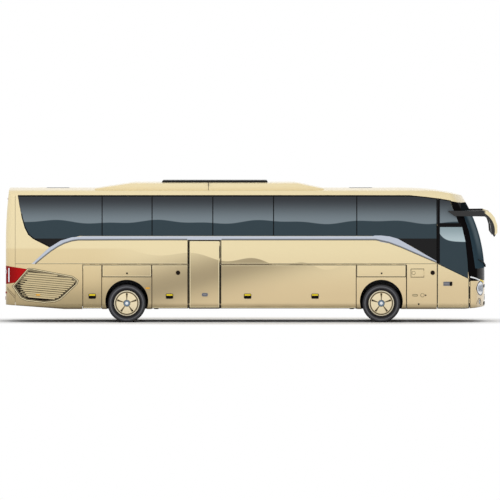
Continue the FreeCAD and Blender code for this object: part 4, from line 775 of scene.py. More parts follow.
# %% Underside and inside
frame_steel = grained("frame_steel", rgb(40, 40, 42), 0.55, 90, low_film_and_shade=0.5)
engine_iron = grained("engine_iron", rgb(96, 96, 98), 0.6, 40, metallic=0.6)
bay_lining = grained("bay_lining", rgb(84, 84, 86), 0.7, 60)
floor_covering = grained("floor_covering", rgb(86, 82, 78), 0.75, 220)
dash_plastic = grained("dash_plastic", rgb(44, 44, 46), 0.55, 500)
print("materials", len(bpy.data.materials))

# %% Lamp lenses
LAMP_Y, LAMP_Z = 0.905, 0.925


def headlamp_lens():
    """Ribbed and grey within, clear round it, with a dark edge."""
    material, tree, shader, where = new_material(
        "clear_lens", Roughness=0.06, Specular_IOR_Level=0.5, Coat_Weight=0.8, Coat_Roughness=0.03)
    x, y, z = split(tree, where)
    away = oval(tree, calc(tree, "SUBTRACT", calc(tree, "ABSOLUTE", y), LAMP_Y),
                calc(tree, "SUBTRACT", z, LAMP_Z), 0.30, 0.186)
    ribs = line(tree, calc(tree, "SINE", times(tree, y, 260.0)), 0.5, 0.5)
    inner = blend_colour(tree, ribs, rgb(150, 160, 170), rgb(196, 203, 210))
    colour = blend_colour(tree, band(tree, away, 0.45, 0.72), inner, rgb(238, 241, 244))
    colour = blend_colour(tree, band(tree, away, 0.90, 0.99), colour, rgb(150, 156, 160))
    link(tree, colour, shader.inputs["Base Color"])
    return material


def tail_lens():
    """Red with a fine grid of cells."""
    material, tree, shader, where = new_material("red_lens", Roughness=0.2, Specular_IOR_Level=0.06)
    x, y, z = split(tree, where)
    cells = times(tree, calc(tree, "SINE", times(tree, z, 300.0)),
                  calc(tree, "SINE", times(tree, calc(tree, "ADD", x, y), 300.0)))
    colour = blend_colour(tree, band(tree, x, -6.66, -6.2), rgb(128, 4, 6), rgb(176, 8, 12))
    colour = blend_colour(tree, line(tree, cells, 0.06, 0.06), colour, rgb(228, 60, 58))
    link(tree, colour, shader.inputs["Base Color"])
    return material


clear_lens, red_lens = headlamp_lens(), tail_lens()


# %% Mirror shell
def mirror_cover():
    """Black, with the outside of the head in cream."""
    material, tree, shader, where = new_material(
        "mirror_shell", Roughness=0.25, Specular_IOR_Level=0.3, Coat_Weight=0.4)
    x, y, z = split(tree, where)
    far = oval(tree, calc(tree, "SUBTRACT", x, 6.10), calc(tree, "SUBTRACT", z, 2.50), 1.0, 1.0)
    cap = times(tree, band(tree, far, 0.548, 0.556), band(tree, z, 2.39, 2.41),
                band(tree, x, 6.35, 6.42))
    colour = blend_colour(tree, cap, rgb(14, 12, 13), rgb(236, 221, 178))
    link(tree, colour, shader.inputs["Base Color"])
    out = use(tree, grain, Vector=where, Scale=400.0, Depth=1.0)
    bump(tree, shader, out["Height"], 0.0001)
    return material


mirror_shell = mirror_cover()


# %% Seat cloth
def woven_cloth():
    """Blue with sand-coloured specks, in a fine weave."""
    material, tree, shader, where = new_material("seat_cloth", Roughness=0.9, Sheen_Weight=0.4,
                                                 Specular_IOR_Level=0.2)
    x, y, z = split(tree, where)
    warp = calc(tree, "SINE", times(tree, calc(tree, "ADD", x, z), 1400.0))
    weft = calc(tree, "SINE", times(tree, y, 1400.0))
    weave = times(tree, warp, weft)
    speck = tree.nodes.new("ShaderNodeTexVoronoi")
    speck.inputs["Scale"].default_value = 26.0
    link(tree, where, speck.inputs["Vector"])
    colour = blend_colour(tree, band(tree, speck.outputs["Distance"], 0.16, 0.22),
                          rgb(170, 150, 104), rgb(48, 58, 82))
    colour = blend_colour(tree, line(tree, weave, 0.1, 0.1), colour, rgb(98, 106, 126))
    link(tree, colour, shader.inputs["Base Color"])
    bump(tree, shader, weave, 0.0004)
    return material


seat_cloth = woven_cloth()
print("materials", len(bpy.data.materials))

# %% [markdown]
# ## Finishes on the CAD parts
# Each CAD part names a material slot in its record. The table turns a slot into a finish, and a few parts
# get one of their own.

# %% Finishes on the CAD parts
SLOTS = {"body_paint": body_paint, "black_gloss": black_gloss, "mirror_housing": mirror_shell,
         "grille_paint": grille_paint, "tinted_glass": side_glass, "bright_strip": bright_metal,
         "clear_lens": clear_lens, "red_lens": red_lens, "frame_steel": frame_steel,
         "bay_lining": bay_lining, "floor_covering": floor_covering, "seat_fabric": seat_cloth,
         "dash_plastic": dash_plastic, "engine_iron": engine_iron, "tyre_rubber": tyre_rubber,
         "wheel_trim": wheel_paint}
OWN = {"windscreen": screen_glass, "front_door_glass": door_glass, "roof_pod": plain_paint,
       "condenser_cover": unit_black}
for part in frame["record"]["subparts"]:
    mesh = nodes[part["node"]].data
    mesh.materials.clear()
    mesh.materials.append(OWN.get(part["node"], SLOTS[part["material_slot"]]))

# %% [markdown]
# ## Painted seam shade, painted highlights, seals and mullions
# On the real coach every flap and door ends in a rubber edge that reads as a thin dark line. Round the flaps
# that line is painted seam shade, a brownish strip standing for the shadow in the narrow gap, with a painted
# highlight strip just inside it. Darkening the paint would do from afar, but a strip that stands 2 mm proud
# catches the light as rubber does. Each is a flat outline, cut down to its border with Inset, wrapped on to
# the skin and thickened.

# %% Small builders for pieces that lie on the coach
body_of = {n: b for b, members in frame["record"]["behaviour"]["bodies"].items() for n in members}


def facing(across, name, points, gap, thick, bevel=0.0, **cut):
    """A plate or a ring laid on the side, the nose or the tail; cut goes to outline."""
    piece = thicken(lay(outline(name, points, across, **cut), gap, across), thick)
    return soften(piece, bevel) if bevel else piece


def on_side(name, points, gap=0.001, thick=0.002, **more):
    """A piece laid on the right side."""
    return facing("Y", name, points, gap, thick, **more)


def pair(piece, slot, *materials, bodies=(BODY, BODY)):
    """Finishes a right-hand piece and its mirror image."""
    finish(mirror(twin(piece, piece.name.replace("right", "left"))), bodies[1], slot, *materials)
    return finish(piece, bodies[0], slot, *materials)


def flap_bodies(flap):
    """The bodies of a flap on the right and of its twin on the left."""
    return body_of[flap + "_right"], body_of[flap + "_left"]


def in_rubber(piece, body=BODY):
    """Finishes a piece in black rubber."""
    return finish(piece, body, "black_gloss", seal_rubber)

# %% Painted seam shade and painted highlights round the flaps
FLAPS = ["service_flap", "rear_arch_flap", "rear_luggage_flap", "main_luggage_flap", "front_arch_flap"]
SKIRT_Z, FLAP_TOP, BELT_Z = 0.385, 1.572, 1.598


def flap_edge(flap, side, name, slot, material, thick, **cut):
    """A strip round a flap, on either side of the coach."""
    low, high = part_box(f"{flap}_{side}")
    points = rectangle(low.x + 0.002, high.x - 0.002, max(low.z + 0.004, SKIRT_Z), FLAP_TOP)
    piece = on_side(f"{name}_{flap}_{side}", points, 0.0008, thick, **cut)
    if side == "left":
        mirror(piece)
    finish(piece, body_of[f"{flap}_{side}"], slot, material)


for flap in FLAPS:
    for side in ("right", "left"):
        # painted seam shade round each flap, for the shadow in its gap, and a painted highlight just inside
        # it
        flap_edge(flap, side, "seal", "black_gloss", seam_shade, 0.0015, ring=0.013,
                  cuts=20 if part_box(f"{flap}_{side}")[0].z < 1 else 0)
        flap_edge(flap, side, "edge", "body_paint", painted_highlight, 0.0013, ring=0.011, inside=0.016)
# painted seam shade round the fuel flap
finish(on_side("seal_fuel_flap", rectangle(4.364, 4.716, 1.239, 1.458), 0.0008, 0.0015, ring=0.007),
       "fuel_flap", "black_gloss", seam_shade)

# %% Lines along the coach: painted shade and painted highlight at the belt, painted shadow under the bright strip, and roof glass
for name, rear, front, z, height, material in (
        ("belt_shade_rear", -6.43, -1.722, BELT_Z, 0.011, seam_shade),
        ("belt_shade_front", -0.838, 5.066, BELT_Z, 0.011, seam_shade),
        ("belt_light_rear", -6.43, -1.740, BELT_Z + 0.013, 0.012, painted_highlight),
        ("belt_light_front", -0.818, 5.066, BELT_Z + 0.013, 0.012, painted_highlight)):
    piece = ribbon(name + "_right", [(x, -SIDE - 0.0006, z) for x in (rear, front)], height)
    pair(thicken(piece, 0.0016), "black_gloss", material)
GLASS_TOP = [(-6.372, 3.448), (-4.6, 3.448), (-2.8, 3.448), (-1.0, 3.448), (0.8, 3.448), (2.6, 3.448),
             (4.319, 3.446), (4.75, 3.404), (5.157, 3.354), (5.45, 3.302), (5.70, 3.250)]
STRIP_REAR = [(-5.90, 1.583), (-5.68, 1.765), (-5.458, 1.940), (-5.28, 2.055), (-5.104, 2.145),
              (-4.90, 2.212), (-4.724, 2.238), (-3.0, 2.243), (-1.745, 2.243)]
STRIP_FRONT = [(-0.81, 2.243), (1.2, 2.243), (3.40, 2.243), (3.75, 2.166), (4.10, 2.036),
               (4.50, 1.862), (4.80, 1.732), (5.05, 1.628)]
# under the bright strip a painted shadow line, and above it a band of painted shade on the strip's lower
# part
for name, path, lift, height, material in (
        ("glass_top", GLASS_TOP, 0.0, 0.026, seal_rubber),
        ("strip_shadow_rear", STRIP_REAR, 0.0, 0.014, seam_shade),
        ("strip_shadow_front", STRIP_FRONT, 0.0, 0.014, seam_shade),
        ("strip_shade_rear", STRIP_REAR, 0.0145, 0.030, strip_shade),
        ("strip_shade_front", STRIP_FRONT, 0.0145, 0.030, strip_shade)):
    piece = ribbon(name + "_right", [(x, -HOLD, z + lift) for x, z in path], height)
    pair(thicken(lay(piece, 0.0012), 0.003), "black_gloss", material)

# %% Rear corner of the glass, with a painted highlight along its outside
REAR_RIM = [(-6.374, 3.455), (-6.318, 3.15), (-6.268, 2.866), (-6.190, 2.587), (-6.090, 2.392),
            (-5.965, 2.288)]
REAR_EDGE = REAR_RIM + [(-5.52, 2.058), (-5.50, 2.085), (-5.945, 2.315), (-6.065, 2.415),
                        (-6.162, 2.600), (-6.240, 2.872), (-6.290, 3.15), (-6.346, 3.455)]
pair(on_side("glass_rear_right", REAR_EDGE, 0.001, 0.003), "black_gloss", seal_rubber)
glint = REAR_RIM + [(x - 0.020, z - 0.012) for x, z in reversed(REAR_RIM)]
pair(on_side("glass_light_right", glint, 0.001, 0.002), "body_paint", painted_highlight)

# %% Mullions between the panes, and the black post ahead of the last one
DOOR_REAR, DOOR_PANE, DOOR_FRONT, DOOR_HEAD = 5.081, 5.150, 5.735, 2.637
for number, x in enumerate((-4.071, -2.707, -1.048, 0.610, 2.882)):
    strip = on_side(f"mullion_{number}_right", rectangle(x - 0.013, x + 0.013, 2.366, 3.444),
                    0.0006, 0.002, cuts=8)
    pair(strip, "black_gloss", seal_rubber)
post = on_side("side_post_right", rectangle(5.058, 5.079, 1.625, 3.368), 0.001, 0.004, cuts=12)
pair(post, "black_gloss", seal_rubber)
in_rubber(on_side("post_over_door", rectangle(DOOR_REAR, DOOR_PANE, DOOR_HEAD, 3.352), 0.001, 0.003,
                  cuts=8))
in_rubber(on_side("bar_over_door", rectangle(DOOR_PANE, DOOR_FRONT, DOOR_HEAD, 2.712), 0.001, 0.003,
                  cuts=8))

# %% Middle door: rubber edge, a painted highlight inside it, and jambs
in_rubber(on_side("mid_door_seal", rectangle(-1.701, -0.853, SKIRT_Z, 2.243), 0.001, 0.002,
                  ring=0.021, cuts=24), "mid_door")
finish(on_side("mid_door_highlight", rectangle(-1.677, -0.877, 0.410, 2.219), 0.0008, 0.0016, ring=0.016,
               cuts=24), "mid_door", "body_paint", painted_highlight)
for name, points, body in (
        ("mid_door_jamb_rear", rectangle(-1.740, -1.716, 1.586, 2.245), BODY),
        ("mid_door_jamb_front", rectangle(-0.843, -0.816, 1.586, 2.245), BODY),
        ("mid_door_head", rectangle(-1.740, -0.816, 2.250, 2.275), BODY),
        ("rear_flap_jamb", rectangle(-1.741, -1.720, SKIRT_Z, 1.574), body_of["rear_luggage_flap_right"]),
        ("main_flap_jamb", rectangle(-0.847, -0.818, SKIRT_Z, 1.574), body_of["main_luggage_flap_right"])):
    in_rubber(on_side(name, points, 0.0012, 0.002, cuts=16), body)

# %% Front door: rubber edge, a painted highlight inside it, jambs and the frame of its pane
DOOR = [(5.084, 0.392), (5.945, 0.392), (5.945, 1.19), (5.917, 1.212), (5.084, 1.616)]
in_rubber(on_side("front_door_seal", DOOR, 0.001, 0.002, ring=0.014, cuts=14), "front_door")
finish(on_side("front_door_highlight", DOOR, 0.0008, 0.0014, ring=0.008, cuts=14, inside=0.016),
       "front_door", "body_paint", painted_highlight)
for name, points, body in (
        ("front_door_jamb_rear", rectangle(5.055, 5.080, 0.388, 1.62), BODY),
        ("skirt_line_front", rectangle(4.232, 4.252, 0.392, 1.570), BODY),
        ("front_door_jamb_front", rectangle(5.950, 5.984, 0.41, 1.285), BODY),
        ("front_door_post", rectangle(5.084, 5.150, 1.622, 2.634), "front_door"),
        ("front_door_top", rectangle(5.150, 5.745, 2.606, 2.634), "front_door")):
    in_rubber(on_side(name, points, 0.001, 0.003, cuts=12), body)

# %% [markdown]
# ## Handles, ports and markers
# A flap handle is a black cup with a yellow lip to pull. A cup could be cut into the flap with a Boolean,
# but the flap's mesh comes from the CAD and stays as it is. So a rounded outline is wrapped on the flap and
# given thickness, and its face is inset and pushed in. One function makes every cup, large or small.

# %% A sunken cup, its floor in painted shade
def cup(name, points, thick, wall, depth, rim, floor):
    """A plate whose face is sunk inside a rim; rim and floor are its materials."""
    piece = on_side(name, points, 0.001, thick)
    pick(piece, lambda centre, normal: normal.y < -0.9)
    bpy.ops.mesh.inset(thickness=wall, depth=0)
    bpy.ops.mesh.inset(thickness=0.002, depth=-depth)
    done()
    for face in piece.data.polygons:
        face.material_index = int(face.select)
    return coat(piece, rim, floor)


# %% Flap handles
HANDLE_Z = 0.717
HANDLES = [("service_flap", -4.341), ("rear_luggage_flap", -2.231), ("main_luggage_flap", -0.099),
           ("main_luggage_flap", 1.743)]
for number, (flap, x) in enumerate(HANDLES):
    handle = cup("cup", rounded(x, HANDLE_Z, 0.200, 0.135, 0.026), 0.010, 0.008, 0.008,
                 seal_rubber, hollow_shade)
    lip = on_side("lip", rounded(x, HANDLE_Z + 0.034, 0.170, 0.040, 0.012), 0.004, 0.012, bevel=0.003)
    grip = on_side("grip", rounded(x, HANDLE_Z - 0.032, 0.166, 0.044, 0.010), 0.003, 0.007, bevel=0.002)
    handle = join([handle, coat(lip, grip_yellow), coat(grip, seal_rubber)], f"handle_{number}_right")
    pair(handle, "black_gloss", bodies=flap_bodies(flap))

# %% Round ports, flap locks and side markers
for name, x, bodies in (("port_rear_right", -1.998, flap_bodies("rear_luggage_flap")),
                        ("port_front_right", 4.954, (BODY, BODY))):
    port = cup(name, ring_points(x, 1.357, 0.062, 0.062), 0.006, 0.010, 0.004, seam_shade, hollow_shade)
    pair(port, "black_gloss", bodies=bodies)
for flap, x in (("rear_arch_flap", -3.391), ("front_arch_flap", 3.561)):
    lock = cup(flap + "_lock_right", rounded(x, 1.341, 0.044, 0.044, 0.008), 0.006, 0.006, 0.003,
               seal_rubber, hollow_shade)
    pair(lock, "black_gloss", bodies=flap_bodies(flap))
for number, (x, z) in enumerate(((-2.827, 0.936), (-5.819, 0.750))):
    marker = on_side(f"side_marker_{number}_right", rounded(x, z, 0.118, 0.046, 0.014), 0.001, 0.012,
                     bevel=0.005)
    pair(marker, "clear_lens", amber_lens)

# %% Door handles
x, z = -1.267, 0.758
plate = cup("plate", rounded(x, z, 0.165, 0.095, 0.03), 0.010, 0.010, 0.006, handle_grey, smoke_lamp)
grip = on_side("grip", rounded(x, z, 0.10, 0.034, 0.012), 0.004, 0.010, bevel=0.003)
finish(join([plate, coat(grip, handle_grey)], "mid_door_handle"), "mid_door", "bright_strip")
x, z = 5.335, 1.056
plate = cup("plate", rounded(x, z, 0.180, 0.112, 0.016), 0.009, 0.008, 0.005, handle_grey, smoke_lamp)
lever = on_side("lever", rounded(x, z, 0.150, 0.040, 0.012), 0.006, 0.012, bevel=0.004)
lock = on_side("lock", rounded(x + 0.120, z, 0.070, 0.112, 0.016), 0.001, 0.013, bevel=0.003)
finish(join([plate, coat(lever, handle_grey), coat(lock, seal_rubber)], "front_door_handle"),
       "front_door", "bright_strip")

# %% Fuel flap finger ring and the fittings below it
ring = cup("fuel_flap_ring", ring_points(4.434, 1.352, 0.050, 0.050), 0.003, 0.006, 0.002,
           seam_shade, plain_paint)
finish(ring, "fuel_flap", "body_paint")
for name, points, rim, floor in (
        ("inlet_slot", rounded(4.475, 0.742, 0.145, 0.055, 0.026), seal_rubber, slat_paint),
        ("filler_ring", ring_points(4.675, 0.742, 0.055, 0.052), seam_shade, plain_paint),
        ("filler_catch", rounded(4.762, 0.742, 0.040, 0.036, 0.012), seal_rubber, hollow_shade),
        ("drain_cap", ring_points(4.573, 0.500, 0.024, 0.024), seal_rubber, hollow_shade)):
    pair(cup(name + "_right", points, 0.005, 0.007, 0.003, rim, floor), "black_gloss")

# %% [markdown]
# ## Grille
# The side grille has a wide painted frame with bright and dark lines round it, slats that fall towards the
# front and short dark fins at its rear end. The bright line is a painted highlight and the dark lines either
# side of it painted shade; a black rubber line edges the opening, and a dark sheet of painted shade fills it
# from behind. The CAD gives the frame. The lines could be drawn in its material, but slats and fins need
# real edges to throw shadows, so all of them are thin pieces laid on it.

# %% Grille lines
OPENING = [(-6.451, 0.990), (-6.066, 1.408), (-4.916, 1.195), (-4.791, 1.110), (-4.816, 1.040),
           (-5.236, 0.665), (-5.376, 0.612), (-5.646, 0.590), (-6.106, 0.640), (-6.251, 0.705)]
EDGE = [(-6.536, 0.988), (-6.106, 1.478), (-6.002, 1.486), (-4.869, 1.267), (-4.710, 1.147),
        (-4.746, 1.040), (-5.200, 0.621), (-5.356, 0.553), (-5.655, 0.525), (-6.142, 0.586),
        (-6.301, 0.657)]


def standing(name, points, y, thick, **cut):
    """Like on_side, but flat at one distance from the middle of the coach."""
    piece = outline(name, points, **cut)
    whole(piece)
    bpy.ops.transform.translate(value=(0, HOLD - y, 0))
    done()
    return thicken(piece, thick)


for number, points, inside, ring, thick, material in (
        (0, EDGE, 0.0, 0.012, 0.003, seam_shade), (1, EDGE, 0.014, 0.016, 0.007, painted_highlight),
        (2, EDGE, 0.034, 0.010, 0.003, seam_shade), (3, OPENING, 0.0, 0.014, 0.004, seal_rubber)):
    border = standing(f"grille_line_{number}_right", points, SIDE + 0.0005, thick, inside=inside, ring=ring)
    pair(border, "grille_paint", material)

# %% Grille slats
FALL, SLAT_HIGH, SLAT_PITCH = 0.085, 0.041, 0.0575


def opening_span(z):
    """Where a level line enters and leaves the grille's opening."""
    hits = []
    for (xa, za), (xb, zb) in zip(OPENING, OPENING[1:] + OPENING[:1]):
        if (za - z) * (zb - z) < 0:
            hits.append(xa + (xb - xa) * (z - za) / (zb - za))
    return min(hits), max(hits)


def slat_front(rear, z):
    """How far forward a falling slat runs before it meets the opening's edge."""
    front = rear + 0.3
    while front < -4.70:
        low = z - FALL * (front - rear)
        if low < 0.615 or front > opening_span(low)[1] - 0.03:
            break
        front += 0.02
    return front


slats = []
for k in range(12):
    z = 1.330 - SLAT_PITCH * k
    rear = max(opening_span(z)[0] + 0.03, -6.30)
    front = slat_front(rear, z)
    drop = FALL * (front - rear)
    points = [(rear, z), (front, z - drop), (front, z - drop + SLAT_HIGH), (rear, z + SLAT_HIGH)]
    slats.append(soften(standing(f"slat_{k}", points, SIDE - 0.006, 0.012), 0.003))
print("slats", len(slats))
pair(join(slats, "grille_slats_right"), "body_paint", slat_paint)

# %% Grille fins, back and catch
fins = []
for k in range(9):
    z = 1.17 - 0.056 * k
    rear = opening_span(max(z, 0.72))[0] + 0.012
    front = rear + 0.15
    points = [(rear, z), (front, z - 0.032), (front, z - 0.006), (rear, z + 0.012)]
    fins.append(standing(f"fin_{k}", points, SIDE - 0.001, 0.010))
pair(join(fins, "grille_fins_right"), "black_gloss", seal_rubber)
# a dark sheet of painted shade behind the grille's opening
pair(standing("grille_back_right", OPENING, SIDE - 0.030, 0.004), "black_gloss", hollow_shade)
catch = on_side("grille_catch_right", rounded(-5.233, 1.305, 0.12, 0.022, 0.008), 0.001, 0.005)
pair(catch, "black_gloss", seal_rubber)

# %% [markdown]
# ## Wheels
# A coach wheel shows a deep black tyre and a dished trim with five dark slots and a steel cap. The tyre is
# a profile turned with Spin, so it can have rings on its wall and grooves in its tread, which the CAD's
# plain tyre lacks. The trim is one disc whose face is inset again and again, each time a little in or out.

# %% The tyre's profile, turned round the axle
WHEEL_Y = 1.098  # from the middle of the coach to the middle of an outer tyre
TREAD, GROOVE = 0.5228, 0.510
HALF = [(0.2905, 0.127), (0.346, 0.1275), (0.352, 0.134), (0.362, 0.1425), (0.372, 0.1445),
        (0.376, 0.1425), (0.382, 0.1452), (0.405, 0.1468), (0.432, 0.1474), (0.448, 0.1466),
        (0.452, 0.1446), (0.459, 0.1450), (0.480, 0.1420), (0.497, 0.1370), (0.510, 0.1305),
        (0.518, 0.1230), (TREAD, 0.1130), (TREAD, 0.072), (GROOVE, 0.070), (GROOVE, 0.062),
        (TREAD, 0.060), (TREAD, 0.024), (GROOVE, 0.022), (GROOVE, 0.014), (TREAD, 0.012)]
PROFILE = HALF + [(r, -w) for r, w in reversed(HALF)]
seed((FRONT_AXLE, -WHEEL_Y - PROFILE[0][1], AXLE_Z + PROFILE[0][0]))
for (r0, w0), (r1, w1) in zip(PROFILE, PROFILE[1:] + PROFILE[:1]):
    bpy.ops.mesh.extrude_vertices_move(TRANSFORM_OT_translate={"value": (0, w0 - w1, r1 - r0)})
bpy.ops.mesh.select_all(action="SELECT")
bpy.ops.mesh.remove_doubles(threshold=0.0002)
bpy.ops.mesh.select_all(action="SELECT")
bpy.ops.mesh.spin(steps=72, angle=2 * math.pi, center=(FRONT_AXLE, -WHEEL_Y, AXLE_Z), axis=(0, 1, 0))
done()
tyre = outwards(land("tyre_part"))
print("tyre faces", len(tyre.data.polygons))


# %% Tread blocks and the painted highlight bands on the tyre's wall
def about_wheel(point):
    """Distance from the wheel's axis, distance from its middle, and angle round it."""
    dx, dz = point.x - FRONT_AXLE, point.z - AXLE_Z
    return math.hypot(dx, dz), abs(point.y + WHEEL_Y), math.degrees(math.atan2(dz, dx)) % 360


def is_block(centre, normal):
    """Passes every other face of the tread's ribs."""
    r, w, turn = about_wheel(centre)
    return r > 0.5215 and int(turn / 5) % 2 == 0 and (0.080 < w < 0.110 or 0.03 < w < 0.055)


def highlight_band(low, high):
    """A test for the faces of the tyre's wall between two radii."""
    def test(centre, normal):
        r, w, turn = about_wheel(centre)
        return low < r < high and w > 0.135
    return test


pick(tyre, is_block)
bpy.ops.mesh.inset(thickness=0.0035, depth=-0.007, use_individual=True)
done()
# a painted highlight ring on the tyre wall, dimmer either side
paint_faces(tyre, 1, highlight_band(0.43, 0.465))
paint_faces(tyre, 2, highlight_band(0.40, 0.43))
paint_faces(tyre, 2, highlight_band(0.465, 0.49))
coat(tyre, tyre_rubber, tyre_wall, tyre_flank)
print("tyre faces with blocks", len(tyre.data.polygons))

# %% A tyre on each wheel, two on each rear one
TWIN_GAP = 0.340
WHEELS = [("front_right", FRONT_AXLE, -1), ("front_left", FRONT_AXLE, 1),
          ("rear_right", REAR_AXLE, -1), ("rear_left", REAR_AXLE, 1)]
for name, x, side in WHEELS:
    along, across = x - FRONT_AXLE, 0 if side < 0 else 2 * WHEEL_Y
    parts = [twin(tyre, "part_outer", (along, across, 0))]
    if x == REAR_AXLE:
        parts.append(twin(tyre, "part_inner", (along, across - side * TWIN_GAP, 0)))
    finish(join(parts, "treaded_tyre_" + name), name + "_wheel", "tyre_rubber",
           replaces=("tyre_" + name,))
discard(tyre)

# %% A dished trim, inset ring by ring
TRIM_Y, TRIM_RADIUS = 1.252, 0.341
RINGS = [(0.010, 0.007), (0.010, 0.0), (0.006, -0.014), (0.030, 0.004), (0.050, 0.006), (0.085, 0.009),
         (0.054, 0.002), (0.004, -0.006), (0.006, 0.0), (0.004, 0.014), (0.026, 0.005), (0.014, -0.003),
         (0.004, 0.006), (0.016, 0.002)]  # how far in, how far out
release()
bpy.ops.mesh.primitive_circle_add(vertices=60, radius=TRIM_RADIUS, fill_type="NGON",
                                  location=(FRONT_AXLE, -TRIM_Y, AXLE_Z), rotation=(math.pi / 2, 0, 0))
trim = face_out(land("trim_part"), (0, -1, 0))
pick(trim, lambda centre, normal: True)
for width, depth in RINGS:
    bpy.ops.mesh.inset(thickness=width, depth=depth)
done()
print("trim faces", len(trim.data.polygons))

# %% Slots, creases and cap of the trim, the slots and creases in painted shade
SPOKES = (90, 18, 306, 234, 162)


def trim_faces(low, high, spread=360):
    """Faces of the trim between two radii, all round or near the five slots."""
    def test(centre, normal):
        r, w, turn = about_wheel(centre)
        near = any(abs((turn - s + 180) % 360 - 180) < spread for s in SPOKES)
        return low < r < high and near
    return test


def sink(test, thickness, depth, index):
    """Pushes some of the trim's faces in and marks their floor."""
    pick(trim, test)
    bpy.ops.mesh.inset(thickness=thickness, depth=depth)
    done()
    for face in trim.data.polygons:
        if face.select:
            face.material_index = index


# the spokes and crease ring are painted shade, and the deep slots and the ring round the cap darker painted
# shade
sink(trim_faces(0.10, 0.230, 6.0), 0.001, -0.010, 1)
sink(trim_faces(0.246, 0.280, 6.0), 0.002, -0.030, 2)
for index, low, high in ((1, 0.286, 0.3215), (5, 0.3215, 0.345), (3, 0.046, 0.084), (4, -1, 0.046),
                         (2, 0.084, 0.0925)):
    paint_faces(trim, index, trim_faces(low, high))
modifier(trim, "SOLIDIFY", thickness=0.003, offset=-1.0)
for name, x, side in WHEELS:
    piece = twin(trim, "wheel_trim_" + name, (x - FRONT_AXLE, 0, 0))
    if side > 0:
        mirror(piece)
    finish(piece, name + "_wheel", "wheel_trim", wheel_paint, wheel_crease, hollow_shade, steel_cap,
           white_cap, wheel_lip, smooth=28)
discard(trim)

# %% Splash panels before and behind the wheels
panels = []
for axle in (FRONT_AXLE, REAR_AXLE):
    for side in (-1, 1):
        for end in (-1, 1):
            panel = block("panel", (axle + end * 0.54, side * 0.55, 0.60), (0.30, 0.012, 0.50))
            panels.append(soften(panel, 0.004))
in_rubber(join(panels, "splash_panels"))

# %% [markdown]
# ## Nose
# The nose carries a curved light strip above each headlamp, lamp rims, low air intakes, a blank number
# plate and two wipers. Flat outlines are wrapped on from the front; what goes round the corner clings to
# the nearest skin.

# %% Light strip over the headlamps
BROW = [(5.985, -1.29, 1.222), (6.03, -1.29, 1.215), (6.09, -1.28, 1.200), (6.15, -1.24, 1.180),
        (6.20, -1.18, 1.160), (6.235, -1.10, 1.144), (6.26, -1.00, 1.132), (6.285, -0.90, 1.122),
        (6.31, -0.78, 1.108), (6.33, -0.66, 1.090), (6.35, -0.54, 1.068)]
for name, path, material in (("brow_right", BROW[:7], white_cap), ("brow_end_right", BROW[6:], grip_yellow)):
    brow = cling(ribbon(name, path, 0.036), 0.003)
    pair(soften(thicken(brow, 0.007), 0.002), "clear_lens", material)

# %% Lamps on the nose
def nose(name, points, gap, thick, **more):
    """A piece laid on the nose, from (across, up) points."""
    return facing("X", name, points, gap, thick, **more)


def lamp_ring(name, points, thick, ring, slot, material, gap=0.001, inside=0.0):
    """A pair of rings round lamps or recesses."""
    pair(nose(name + "_right", points, gap, thick, ring=ring, inside=inside), slot, material)


LAMP = ring_points(-LAMP_Y, LAMP_Z, 0.312, 0.198, 48)
lamp_ring("headlamp_rim", LAMP, 0.005, 0.012, "black_gloss", seal_rubber)
lamp_ring("headlamp_chrome", LAMP, 0.004, 0.014, "bright_strip", bright_metal, inside=0.018)
for name, y, radius in (("main_beam", -0.800, 0.098), ("dip_beam", -1.020, 0.090)):
    circle = ring_points(y, LAMP_Z, radius, radius, 32)
    lamp_ring(name, circle, 0.008, 0.016, "bright_strip", bright_metal, gap=0.002)
    lens = nose(name + "_lens_right", circle, 0.002, 0.006, inside=0.030, bevel=0.002)
    pair(lens, "clear_lens", smoke_lamp)
fog = ring_points(-1.0, 0.56, 0.064, 0.064, 32)
lamp_ring("fog_rim", fog, 0.006, 0.012, "bright_strip", steel_cap, gap=0.002)
RECESS = [(-1.21, 0.510), (-0.86, 0.470), (-0.84, 0.560), (-0.93, 0.648), (-1.07, 0.660), (-1.19, 0.570)]
lamp_ring("fog_recess", RECESS, 0.003, 0.014, "black_gloss", seam_shade)

# %% Intakes and plate
def bars(name, half, low, pitch, high):
    """Three level bars, one above the other."""
    rows = []
    for k in range(3):
        z = low + pitch * k
        rows.append(nose(f"bar_{k}", rectangle(-half, half, z, z + high), 0.006, 0.006, cuts=6))
    return join(rows, name)


in_rubber(nose("lower_intake", [(-0.56, 0.455), (0.56, 0.455), (0.53, 0.545), (-0.53, 0.545)],
               0.001, 0.004, cuts=8))
finish(bars("lower_intake_bars", 0.51, 0.470, 0.026, 0.010), BODY, "grille_paint", grille_paint)
in_rubber(nose("upper_intake", [(-0.50, 0.930), (0.50, 0.930), (0.54, 1.010), (-0.54, 1.010)],
               0.001, 0.004, cuts=6))
finish(bars("upper_intake_bars", 0.49, 0.945, 0.024, 0.008), BODY, "bright_strip", bright_metal)
finish(nose("front_plate", rectangle(-0.26, 0.26, 0.6075, 0.7225), 0.002, 0.006, cuts=8), BODY,
       "bright_strip", plate_white)
in_rubber(nose("front_plate_holder", rectangle(-0.275, 0.275, 0.5925, 0.7375), 0.001, 0.004,
               ring=0.016, cuts=8))

# %% Wipers
ARM = [(0.16, 1.500), (0.16, 1.545), (0.62, 1.640), (0.90, 1.668), (0.90, 1.652), (0.62, 1.612)]
BLADE = [(0.22, 1.560), (0.22, 1.575), (1.06, 1.720), (1.06, 1.705)]
for name, side in (("right", -1), ("left", 1)):
    arm = nose("arm", [(side * y, z) for y, z in ARM], 0.030, 0.014)
    blade = nose("blade", [(side * y, z) for y, z in BLADE], 0.008, 0.018, cuts=4)
    pivot = nose("pivot", ring_points(side * 0.16, 1.52, 0.036, 0.036), 0.004, 0.038, bevel=0.004)
    in_rubber(join([arm, blade, pivot], "wiper_" + name))

